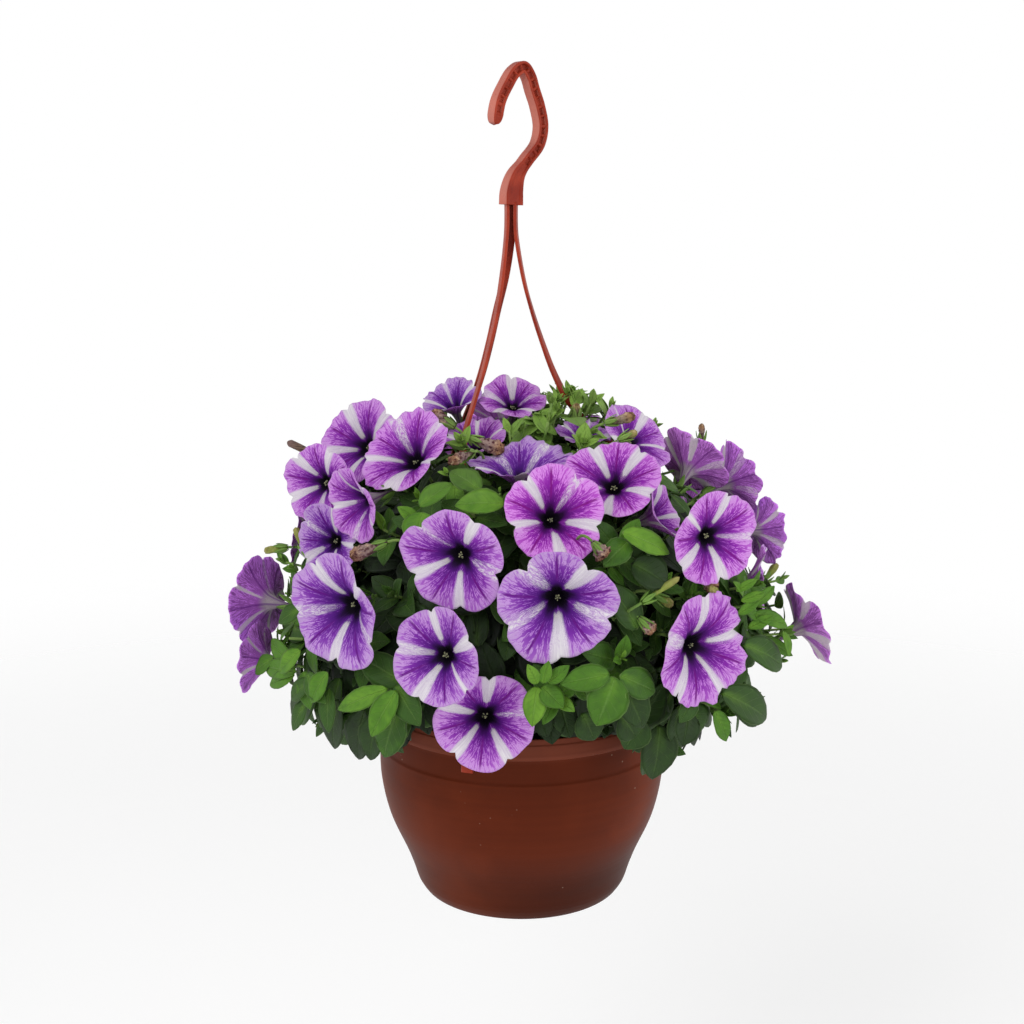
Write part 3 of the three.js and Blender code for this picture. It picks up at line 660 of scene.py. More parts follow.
def corolla(radius, ruffle, cup, seed, fold):
    """Rows run from the tube's foot up the outside, over the edge, and back down inside the
    throat; columns go round. Distance from the axis and height along it are in metres, with
    the flat lobes' edge at height 0. The edge is a circle less a notch that grows with the
    sixth power of the way to the seam; waves round the limb grow with the square of the
    distance out. Returns (radii, heights, share of the radius, front)."""
    random = np.random.default_rng(seed)
    outline = (1 - (0.07 + 0.07 * random.random(LOBES))[lobe] * seam ** 6 - 0.03 * seam ** 2
               + random.uniform(-0.05, 0.05, LOBES)[lobe] * (1 - seam ** 2)
               + random.uniform(-0.08, 0.08, LOBES)[lobe] * within * (1 - seam ** 2)
               + random.uniform(-0.01, 0.035, LOBES)[lobe] * (1 - seam) ** 3)
    waves = sum(random.normal(0, 0.020 / m ** 0.35) * np.cos(m * turn_u + random.uniform(0, 6.3))
                for m in (2, 3, 4, 6, 7, 9))
    fringe = sum(random.normal(0, 0.008) * np.cos(m * turn_u + random.uniform(0, 6.3))
                 for m in (11, 14, 18, 23))
    outline = outline * (1 + (0.5 + 0.35 * ruffle) * fringe)
    curl = random.uniform(-0.02, 0.10, LOBES)[lobe]
    bent = np.clip(np.cos(turn_u - np.radians(fold[0])), 0, 1) ** 2.5 * fold[1]

    def limb(x):
        """Height of the limb at shares x of the radius, for every angle."""
        x = x[:, None]
        z = -LIMB_DEPTH * cup * funnel(x)
        z = z + ruffle * waves * x ** 2 * 1.1 + ruffle * fringe * x ** 4 * 0.9
        z = z - curl * x ** 3.5 * (1 - 0.6 * seam ** 2) + bent * x ** 2.5
        z = z - 0.040 * x * np.exp(-(((1 - seam) * x / 0.12) ** 2))
        z = z - 0.016 * x ** 0.8 * np.exp(-((seam * x / 0.06) ** 2)) * (1 - x ** 6)
        return z * radius

    x_back = np.linspace(MOUTH + 0.04, 1, 11)
    x_front = np.linspace(1, MOUTH, 20)
    foot, neck = -TUBE_DEPTH * radius - TUBE_LENGTH, limb(x_back[:1]).mean() - 0.0012
    way = np.array([0, 0.2, 0.42, 0.62, 0.78, 0.90, 0.97])
    tube_r = np.r_[0, TUBE_FOOT + (TUBE_NECK * radius - TUBE_FOOT) * way ** 2.6]
    tube_z = np.r_[foot, foot + (neck - foot) * way]
    inner_r = np.array([0.115, 0.080, 0.050, 0.0]) * radius
    inner_z = limb(x_front[-1:]).mean() - np.array([1.6, 4.2, 6, 6.4]) / 1000
    flat = np.ones(ROUND)
    skin_gap = (0.0006 * (1 - x_back ** 3) + 0.0001)[:, None]
    radii = np.vstack([tube_r[:, None] * flat, x_back[:, None] * outline * radius,
                       x_front[:, None] * outline * radius, inner_r[:, None] * flat])
    heights = np.vstack([tube_z[:, None] * flat, limb(x_back) - skin_gap, limb(x_front) + 0.0001,
                         inner_z[:, None] * flat])
    share = np.r_[tube_r / radius, x_back, x_front, inner_r / radius]
    front = np.r_[np.zeros(len(tube_r) + len(x_back)), np.ones(len(x_front) + len(inner_r))]
    return radii, heights, share, front


petal = Finish("petals", Roughness=0.65, Specular_IOR_Level=0.12)
disc = petal.node("ShaderNodeUVMap", {"uv_map": "surface"}).stretched((2, 2, 1), (-1, -1, 0))
flat_x, flat_y = disc.part(0), disc.part(1)
reach = (flat_x * flat_x + flat_y * flat_y) ** 0.5
lobe_turn = petal.math("ARCTAN2", flat_x, flat_y) * (LOBES / (2 * np.pi))
aside = petal.math("PINGPONG", lobe_turn, 0.5) * 2        # 0 mid-lobe, 1 at the seam
lobe_number = petal.math("FLOOR", lobe_turn + 0.5)
signed = (lobe_turn - lobe_number) * 2
seam_number = petal.math("FLOORED_MODULO", petal.math("FLOOR", lobe_turn), float(LOBES))
hue = petal.mark("hue")
sort = petal.mark("sort")


def joined(x, y, z):
    """A vector of three wires or numbers."""
    return petal.node("ShaderNodeCombineXYZ", None, {0: x, 1: y, 2: z})


def dice(x, y, z):
    """Three chance values between 0 and 1 for a whole-numbered place."""
    colour = petal.node("ShaderNodeTexWhiteNoise", {"noise_dimensions": "3D"},
                        {"Vector": joined(x, y, z)}, out="Color")
    return [petal.node("ShaderNodeSeparateColor", None, {0: colour}, out=k) for k in range(3)]


# veins run out from the midrib as a fan; a rough field is cut at its middle value, so the
# cuts join up as a net stretched along the veins, and the net thins towards the edge
each_lobe = sort * 7.3 + lobe_number * 1.7
drift = joined(flat_x, flat_y, each_lobe).noise(5.0, 2.0) - 0.5
fan = signed / (0.36 + 0.64 * reach) + drift * 0.16
coarse = joined(fan * 8.6, reach * 2.8, each_lobe * 3.1).noise(1.0, 1.2)
fine = joined(fan * 15.5, reach * 9.5, each_lobe * 5.7).noise(1.0, 1.0)
coarse = petal.math("ABSOLUTE", coarse - 0.5) * 6.0
fine = petal.math("ABSOLUTE", fine - 0.5) * 6.0 + 0.16
web = petal.math("SMOOTH_MIN", coarse, fine, 0.25)
streak = joined(signed * 20.0, reach * 1.8, each_lobe).noise(1.0, 3.0) - 0.5
outwards = reach + 0.26 * aside * aside + 0.16 * drift + 0.10 * streak - 0.06
inked = 0.20 + 0.40 * outwards.rise(1.0, 0.34) + 0.9 * outwards.rise(0.36, 0.20)
veins = (web - inked).rise(0.09, -0.09)

# between and on the veins, from the throat to the edge, for a violet and a magenta bloom
violet_pale = outwards.ramp((0.25, rgb(112, 48, 162)), (0.45, rgb(148, 96, 190)),
                            (0.70, rgb(174, 138, 200)), (1.0, rgb(172, 148, 192)))
violet_dark = outwards.ramp((0.17, rgb(34, 8, 58)), (0.30, rgb(70, 20, 118)),
                            (0.60, rgb(104, 44, 150)), (0.95, rgb(150, 100, 186)))
magenta_pale = outwards.ramp((0.25, rgb(136, 38, 164)), (0.45, rgb(182, 88, 200)),
                             (0.70, rgb(206, 124, 218)), (1.0, rgb(206, 142, 218)))
magenta_dark = outwards.ramp((0.17, rgb(40, 6, 54)), (0.30, rgb(92, 14, 118)),
                             (0.60, rgb(138, 34, 160)), (0.95, rgb(180, 84, 194)))
pale = hue.blend(violet_pale, magenta_pale)
netted = veins.blend(pale, hue.blend(violet_dark, magenta_dark))
midrib = (aside * reach * (1 + 0.5 * drift)).rise(0.052, 0.018) * reach.rise(0.98, 0.84)
rib_tone = hue.blend(rgb(84, 14, 122), rgb(120, 10, 124))
netted = (midrib * reach.rise(0.30, 0.50) * 0.9).blend(netted, rib_tone)
netted = (reach.rise(0.95, 1.0) * 0.45).blend(netted, pale)

# each seam's stripe has its own width and start, and each side of it its own fray
seam_width, seam_fill, seam_start = dice(seam_number, sort, 0.0)
side_width, side_fray, _ = dice(seam_number, sort, petal.math("SIGN", signed) + 3.0)
SEAM_ARC = 0.628                 # half a lobe's arc along the edge, in radii
from_seam = (1 - aside) * reach * SEAM_ARC
half = petal.mark("stripe") * (0.022 + 0.060 * seam_width + 0.055 * side_width)
half = half * (0.46 + 0.94 * reach.rise(0.15, 0.85))
feather = (0.010 + 0.035 * side_fray) * reach
fray = (from_seam - half) + streak * (0.02 + 2.2 * feather) + (coarse - 1.0) * 0.010
begins = 0.21 + 0.12 * (seam_start * seam_start)
white = (fray / (feather + 0.012)).rise(0.75, -0.75)
white = white * ((reach + 0.12 * streak - begins) * 20.0).rise(0.0, 1.0)
white = white * (1 - 0.85 * seam_fill.rise(0.62, 0.90) * (1 - (web - 0.25).rise(0.0, 0.45)))
white = white * (1 - 0.30 * fine.rise(0.34, 0.20) * reach.rise(0.95, 0.6))
white_tone = (streak + 0.5).rise(0.3, 0.72).blend(rgb(198, 190, 202), rgb(218, 215, 217))
white_tone = reach.rise(0.42, 0.22).blend(white_tone, rgb(196, 194, 186))
face = (white * 0.97).blend(netted, white_tone)
# painted shade: the throat's own dark violet is painted near-black, as shade deep in the tube
face = (reach + 0.10 * streak).rise(0.235, 0.165).blend(face, rgb(12, 3, 20))

# painted light: the backs' own pale colour is painted brighter, as light shining through the thin
# petals
back = (veins * 0.66).blend(hue.blend(rgb(222, 136, 255), rgb(214, 138, 216)), rgb(104, 28, 126))
back = (white * 0.8).blend(back, rgb(214, 208, 208))
tube_tone = (streak + 0.5).rise(0.35, 0.65).blend(rgb(176, 168, 166), rgb(128, 104, 136))
back = reach.rise(0.34, 0.17).blend(back, tube_tone)
back = (midrib * 0.6).blend(back, rib_tone)
petal.feed(Base_Color=petal.mark("front").rise(0.4, 0.6).blend(back, face))
petal.relief(petal.math("MINIMUM", web, 1.0) * 0.5 + streak * 0.5 - midrib * 0.6, 0.0003)

blooms = {}
for number in range(1, FLOWERS + 1):
    name = f"flower_{number:02d}"
    blooms[number] = read_flower(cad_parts[name])
    middle, ahead, lead, radius, base = blooms[number]
    random = np.random.default_rng(100 + number)
    look_hue, look_stripe, ruffle, cup = BLOOM_LOOKS.get(number, PLAIN_LOOK)
    fold = FOLDS.get(number, (random.uniform(0, 360), 0.1))
    radii, heights, share, front = corolla(radius, ruffle, cup, number, fold)
    spoke = (np.cos(turn_u)[:, None] * lead + np.sin(turn_u)[:, None] * np.cross(lead, ahead))
    grid = middle + radii[..., None] * spoke + heights[..., None] * ahead
    disc_uv = 0.5 + 0.5 * share[:, None, None] * np.stack([np.sin(turn_u), np.cos(turn_u)], -1)
    make_piece(f"corolla_{number:02d}", grid[None], petal.material, [name], wrap=True,
               uv=disc_uv, marks={"hue": look_hue, "stripe": look_stripe, "sort": number,
                                  "front": front[None, :, None]})

# ---------------------------------------------------------------------- stems and leaves
# Soft stems rise from the crown and arch outwards to leafy tips. Leaves stand in crossed
# pairs: long ones below, short bright ones round the tip. They are spoon-shaped and blunt,
# folded a little along a pale midrib, and droop with their length.
CROWN = 0.038                    # radius of the ring that the lowest shoots grow from
CROWN_NARROWS = 0.030            # how much less it is for the tallest ones
TALLEST = 0.222
MAIN_SHOOTS = 16
STEM_STEPS = 10


def spot(azimuth, radius, height):
    """A point from its azimuth in degrees, distance from the pot's axis and height above the
    rim band's lower edge, both in metres."""
    a = np.radians(azimuth)
    return np.stack([radius * np.sin(a), -radius * np.cos(a), height + rim], -1)


def two_ends(table):
    """Two points for each row, whose first six numbers give the azimuth, distance and height
    of one and then of the other, with lengths in millimetres."""
    return [spot(table[:, k], table[:, k + 1] / 1000, table[:, k + 2] / 1000) for k in (0, 3)]


def bezier(start, bend, end, steps):
    """Points of many quadratic curves: (curve, point, xyz)."""
    t = np.linspace(0, 1, steps)[None, :, None]
    return (start[:, None] * (1 - t) ** 2 + 2 * bend[:, None] * t * (1 - t)
            + end[:, None] * t ** 2)


def unit(vectors):
    """Vectors at length 1."""
    return vectors / np.linalg.norm(vectors, axis=-1, keepdims=True)


def square_to(vectors, fixed):
    """Two unit vectors for each vector, square to it and to each other; fixed only has to
    point another way."""
    one = unit(np.cross(vectors, np.array(fixed)))
    return one, np.cross(vectors, one)


def tubes(lines, radii, sides=6):
    """A round section carried along many lines: rows follow the line, closed at both ends."""
    level, other = square_to(unit(np.gradient(lines, axis=1)), (0.31, 0.17, 0.93))
    a = np.linspace(0, 2 * np.pi, sides, endpoint=False)[:, None]
    rounds = np.cos(a) * level[:, :, None] + np.sin(a) * other[:, :, None]
    skin = lines[:, :, None] + rounds * radii[..., None, None]
    cap = np.broadcast_to(lines[:, [0, -1], None], (len(lines), 2, sides, 3))
    return np.concatenate([cap[:, :1], skin, cap[:, 1:]], 1)


LEAF_V = np.array([0, 0.07, 0.20, 0.36, 0.53, 0.70, 0.84, 0.95, 1.0])
LEAF_PSI = np.linspace(0, 2 * np.pi, 8, endpoint=False)
LEAF_THICK = 0.00022             # half the thickness at the midrib


def leaf_grids(base, along, over, length, width, droop, fold, wave):
    """Closed blades (leaf, row, column, xyz): the midrib is an arc that bends through droop
    away from the upper side; half the width grows as v^0.8 (1 - v)^0.96; the section is a
    thin lens whose edges are lifted by fold and rippled by wave."""
    length, width, droop, fold, wave = (np.broadcast_to(value, len(base))[:, None, None]
                                        for value in (length, width, droop, fold, wave))
    v = LEAF_V[None, :, None]
    bend = (droop + 1e-4) * v
    a, o = along[:, None], over[:, None]
    middle = base[:, None] + length / (droop + 1e-4) * (a * np.sin(bend) - o * (1 - np.cos(bend)))
    normal = o * np.cos(bend) + a * np.sin(bend)
    aside = np.cross(along, over)[:, None, None]
    half = (LEAF_V ** 0.8 * (1 - LEAF_V) ** 0.96 / 0.296)[None, :, None] * width / 2
    half = half + (0.03 * (1 - LEAF_V) ** 2)[None, :, None] * width
    x, up = np.cos(LEAF_PSI), np.sin(LEAF_PSI)
    ripple = wave * np.sin(9 * v + 40 * wave + 2 * x) * x ** 2
    ends = np.r_[0, np.ones(len(LEAF_V) - 2), 0][None, :, None]
    lift = (half * (fold * np.abs(x) ** 1.3 + ripple) + up * LEAF_THICK) * ends
    wide = half * x * ends
    return middle[:, :, None] + wide[..., None] * aside + lift[..., None] * normal[:, :, None]


eye = np.array(camera.location)
SEEN_BLOOMS = 29                 # the blooms after this number are behind the plant
HALF_HIDDEN = (18, 19, 23, 27, 29)      # blooms that leaves may partly cover
RIM_FRONT = -0.1                 # y of an upright plane at the rim's front
BEHIND_LIMB = 0.0035             # room that leaves and stems keep behind a bloom's limb
TUBE_ROOM = 0.0045               # round the axis of its tube
STRAP_ROOM = 0.0052              # and round the middle of a strap
POT_INNER, POT_OUTER = 0.0985, 0.1075
SOIL_ROOM = 0.006                # height over the band's lower edge


def hits(points, front_room=0.020, sighted=True):
    """Which of many shapes (shape, point, xyz) touch a bloom, hide one from the front, touch
    a strap, or cut into the pot or the soil. front_room is the depth kept free before a
    limb; sighted says whether the sight of the blooms is kept free too."""
    bad = np.zeros(points.shape[:2], bool)
    for number, (middle, ahead, lead, radius, base) in blooms.items():
        away = points - middle
        up_axis = away @ ahead
        out = np.sqrt(np.maximum((away ** 2).sum(-1) - up_axis ** 2, 0))
        limb = -radius * LIMB_DEPTH * BLOOM_LOOKS.get(number, PLAIN_LOOK)[3] * funnel(out / radius)
        bad |= (out < radius * 1.02) & (up_axis > limb - BEHIND_LIMB) & (up_axis < front_room)
        bad |= (out < TUBE_ROOM) & (up_axis > -TUBE_DEPTH * radius - TUBE_LENGTH) & (up_axis < 0)
        if sighted and number <= SEEN_BLOOMS and number not in HALF_HIDDEN:
            # where the line of sight to each point meets the plane of the bloom's edge
            sight = points - eye
            facing = sight @ ahead
            share = ((middle - eye) @ ahead) / np.where(np.abs(facing) < 1e-6, 1e-6, facing)
            landing = eye + sight * share[..., None] - middle
            bad |= (share > 1.005) & ((landing ** 2).sum(-1) < (0.97 * radius) ** 2)
    for line in strap_lines.values():
        for a in line[::4]:
            bad |= ((points - a) ** 2).sum(-1) < STRAP_ROOM ** 2
    from_axis = np.hypot(points[..., 0], points[..., 1])
    height = points[..., 2] - rim
    low = (height < RIM_BAND + 0.001) & (from_axis < POT_OUTER)
    bad |= low & ((from_axis > POT_INNER) | (height < SOIL_ROOM))
    return bad.any(1)


def veils(points):
    """Which shapes hang over the front of the rim, or straggle out at the right, where both
    stand bare: their points are carried along the line of sight onto the upright plane at
    the rim's front."""
    sight = points - eye
    landing = eye + sight * ((RIM_FRONT - eye[1]) / sight[..., 1])[..., None]
    side, up = landing[..., 0], landing[..., 2] - rim
    bare = 0.014 - 0.022 * np.clip((np.abs(side + 0.002) - 0.068) / 0.012, 0, 3)
    straggling = (side > 0.154) & (up > 0.048) & (up < 0.066)
    return ((up < bare) | straggling).any(1)


# azimuth, distance from the axis and height above the rim of each tip, then its leaves' size;
# the first sixteen are the plant's main shoots
TIPS = np.array([
    (-37, 149, 55, 0.9), (3, 160, 58, 0.75), (22, 176, 122, 0.6), (39, 152, 16, 1.0),
    (64, 172, 101, 0.8), (69, 168, 28, 1.0), (-65, 166, 114, 0.75), (-80, 178, 49, 0.9),
    (-33, 120, 178, 0.8), (96, 50, 222, 0.5), (71, 128, 167, 0.7), (-59, 156, 24, 1.0),
    (175, 160, 60, 0.9), (-120, 165, 90, 0.9), (140, 155, 130, 0.9), (-158, 150, 140, 0.9),
    (-26, 182, 75, 1.15), (-53, 178, 62, 0.95), (-62, 178, 80, 0.8), (-58, 176, 130, 0.6),
    (-58, 182, 97, 0.7), (21, 172, 88, 1.0), (24, 160, 158, 0.85), (56, 184, 108, 0.7),
    (54, 178, 84, 0.85), (45, 168, 52, 0.95), (43, 162, 118, 0.6), (7, 176, 68, 0.75),
    (-23, 120, 196, 0.65), (-26, 150, 172, 0.75), (-6, 132, 188, 0.7), (-13, 142, 178, 0.7),
    (15, 38, 228, 0.5), (35, 52, 232, 0.5), (62, 58, 232, 0.5), (150, 30, 228, 0.5),
    (50, 32, 234, 0.45), (85, 50, 230, 0.45), (110, 45, 230, 0.45), (24, 66, 226, 0.5),
    (76, 78, 224, 0.5), (10, 96, 208, 0.5), (44, 84, 216, 0.5), (-22, 100, 204, 0.5),
    (100, 70, 216, 0.55), (14, 76, 213, 0.6), (28, 86, 211, 0.65), (52, 120, 198, 0.6),
    (56, 134, 186, 0.6), (40, 110, 200, 0.5), (21, 158, 146, 0.6), (-40, 140, 160, 0.7),
    (130, 60, 218, 0.5), (60, 70, 218, 0.5), (-8, 60, 218, 0.5), (-30, 80, 212, 0.5),
    (-66, 168, 150, 0.55), (48, 172, 100, 0.7), (-2, 150, 110, 0.7), (32, 168, 132, 0.6),
    (80, 176, 62, 0.8), (88, 170, 92, 0.7), (-78, 168, 70, 0.8), (-46, 166, 34, 1.0),
    (-30, 160, 36, 1.0), (30, 160, 30, 0.95), (54, 164, 34, 0.95), (16, 166, 60, 0.85),
    (66, 190, 112, 0.65), (74, 192, 99, 0.7), (81, 196, 86, 0.7), (63, 190, 93, 0.75),
    (70, 190, 78, 0.8), (83, 190, 70, 0.8), (61, 186, 66, 0.8), (76, 184, 52, 0.85),
    (90, 186, 100, 0.7), (60, 178, 118, 0.65), (67, 180, 126, 0.6), (88, 188, 84, 0.7),
    (-70, 186, 88, 0.7), (-76, 190, 70, 0.75), (-84, 186, 60, 0.8), (-66, 184, 50, 0.8),
    (-73, 184, 38, 0.8), (-88, 180, 84, 0.7), (-64, 178, 110, 0.6), (-80, 176, 100, 0.7),
    (8, 52, 230, 0.65), (28, 44, 234, 0.65), (44, 60, 230, 0.65), (58, 44, 234, 0.65),
    (30, 62, 226, 0.65), (16, 64, 224, 0.65), (70, 66, 226, 0.65), (52, 74, 222, 0.6),
    (82, 40, 232, 0.65), (5, 70, 220, 0.6), (36, 80, 216, 0.65), (60, 100, 208, 0.6),
    (40, 24, 237, 0.6), (64, 34, 237, 0.6), (95, 34, 236, 0.6), (22, 30, 236, 0.6),
    (120, 30, 234, 0.6), (48, 52, 234, 0.6), (70, 52, 232, 0.6), (14, 44, 230, 0.6),
    (86, 62, 226, 0.6), (32, 70, 224, 0.6), (50, 66, 228, 0.6), (-96, 80, 214, 0.5),
    (-30, 24, 222, 0.6), (-60, 30, 220, 0.6), (-10, 34, 222, 0.6), (20, 36, 224, 0.7),
    (0, 52, 216, 0.6), (60, 24, 226, 0.7), (140, 20, 228, 0.6), (36, 40, 226, 0.7),
    (-100, 100, 204, 0.5), (-110, 60, 220, 0.5), (-70, 80, 206, 0.5), (120, 90, 212, 0.5),
    (100, 96, 210, 0.5), (84, 104, 206, 0.5), (-60, 170, 132, 0.5), (-72, 172, 126, 0.5)])
shoots = TIPS / (1, 1000, 1000, 1)

# other shoots fill the mound in a sunflower's spiral: equal turns round, and heights that
# share out the mound's surface
FILLED = 240
SPIRAL = 137.508                 # degrees
SHOOT_GAP = 0.020                # a filling shoot stays this far from the tips above
MOUND = smooth_path([(0.118, 0.008), (0.138, 0.016), (0.154, 0.036), (0.165, 0.070),
                     (0.165, 0.104), (0.155, 0.138), (0.134, 0.168), (0.104, 0.192),
                     (0.070, 0.208), (0.030, 0.216), (0.001, 0.218)], 400)
rng = np.random.default_rng(23)
area = np.cumsum(MOUND[:, 0] + 0.012)
turn = np.arange(FILLED)
mound_r, mound_h = MOUND[np.interp((turn + 0.5) / FILLED, area / area[-1],
                                   np.arange(len(MOUND))).astype(int)].T
azimuth = (turn * SPIRAL + rng.uniform(-9, 9, FILLED) + 180) % 360 - 180
deep = np.where(np.abs(azimuth) < 90, rng.uniform(0.78, 0.97, FILLED), rng.uniform(0.86, 1, FILLED))
size = rng.uniform(0.75, 1.05, FILLED) - 0.35 * (mound_h > 0.19)
fill = np.stack([azimuth, mound_r * deep, mound_h * (0.4 + 0.6 * deep), size], 1)
apart = np.linalg.norm(spot(*fill.T[:3])[:, None] - spot(*shoots.T[:3]), axis=2).min(1)
shoots = np.vstack([shoots, fill[apart > SHOOT_GAP]])

azimuth, radius, height, size = shoots.T
count = len(shoots)
tip = spot(azimuth, radius, height)
start = spot(azimuth, CROWN - CROWN_NARROWS * np.clip(height / TALLEST, 0, 1), 0.001 + 0 * height)
bend = spot(azimuth, radius * 0.45, np.maximum(height * 0.8, 0.060))
stem_lines = bezier(start, bend, tip, STEM_STEPS)
stem_radii = np.linspace(0.0022, 0.0010, STEM_STEPS)[None] * size[:, None] ** 0.3
axis = unit(unit(tip - bend) + np.array([0, 0, 0.28]))

# pairs from the tip down: distance back along the shoot, leaf length, angle to the shoot
PAIRS = [(-0.003, 0.009, 14), (-0.001, 0.014, 26), (0.002, 0.021, 40), (0.006, 0.029, 54),
         (0.013, 0.035, 68), (0.023, 0.039, 80), (0.037, 0.040, 90)]
random = np.random.default_rng(5)
leaves = []              # batches of (base, along, over, length, tone, shoot it grows on)
roll = random.uniform(0, 2 * np.pi, count)
sunk = 1 - radius / np.interp(height, MOUND[::8, 1], MOUND[::8, 0])
level, other = square_to(axis, (0.2, 0.1, 0.97))
# painted shade and light: leaves deep in the mound or near the rim are darker, those on top brighter
painted_shading = 0.30 * (sunk > 0.07) + 0.20 * (height < 0.045) - 0.24 * (height > 0.19)
for k, (back, long, lean) in enumerate(PAIRS):
    for flip in (0, np.pi):
        turn = (roll + k * np.pi / 2 + flip + random.normal(0, 0.22, count))[:, None]
        out = np.cos(turn) * level + np.sin(turn) * other
        lean_angle = np.radians(lean + random.normal(0, 9, count))[:, None]
        sink = (back * size)[:, None]
        leaves.append((tip - axis * sink - unit(tip - bend) * (sink * 0.2),
                       out * np.sin(lean_angle) + axis * np.cos(lean_angle),
                       axis * np.sin(lean_angle) - out * np.cos(lean_angle),
                       long * size * random.uniform(0.85, 1.12, count),
                       0.96 - 0.10 * k + random.normal(0, 0.08, count) - painted_shading,
                       np.arange(count)))


def nearest(points, to):
    """Which of the points in to is nearest to each point."""
    return np.linalg.norm(points[:, None] - to, axis=2).argmin(1)


def upper_side(outward, along):
    """The part of each outward vector that stands square to along, at length 1."""
    return unit(outward - along * (outward * along).sum(1, keepdims=True))


# older leaves inside the mound, which close it behind the others; their dark tone is painted shade
INNER = 1500
pick = rng.integers(0, len(MOUND), INNER)
kept = rng.random(INNER) < (MOUND[pick, 0] / 0.17)
inner_az = rng.uniform(-180, 180, INNER)
share = rng.uniform(0.70, 0.95, INNER)
kept &= share > 0.74
base = spot(inner_az, MOUND[pick, 0] * share, 0.03 + (MOUND[pick, 1] - 0.03) * share)
outward = unit(base - np.array([0, 0, rim + 0.04]))
swing = unit(np.cross(outward, rng.normal(0, 1, (INNER, 3))))
along = unit(swing + outward * 0.15 + np.array([0, 0, -0.25]))
length = rng.uniform(0.030, 0.044, INNER) * (1 - 0.45 * (MOUND[pick, 1] > 0.17))
tone = rng.uniform(-0.18, 0.08, INNER) + 2.2 * (share - 0.81) * (share > 0.81)
leaves.append([part[kept] for part in (base, along, upper_side(outward, along), length, tone,
                                       nearest(base, tip))])

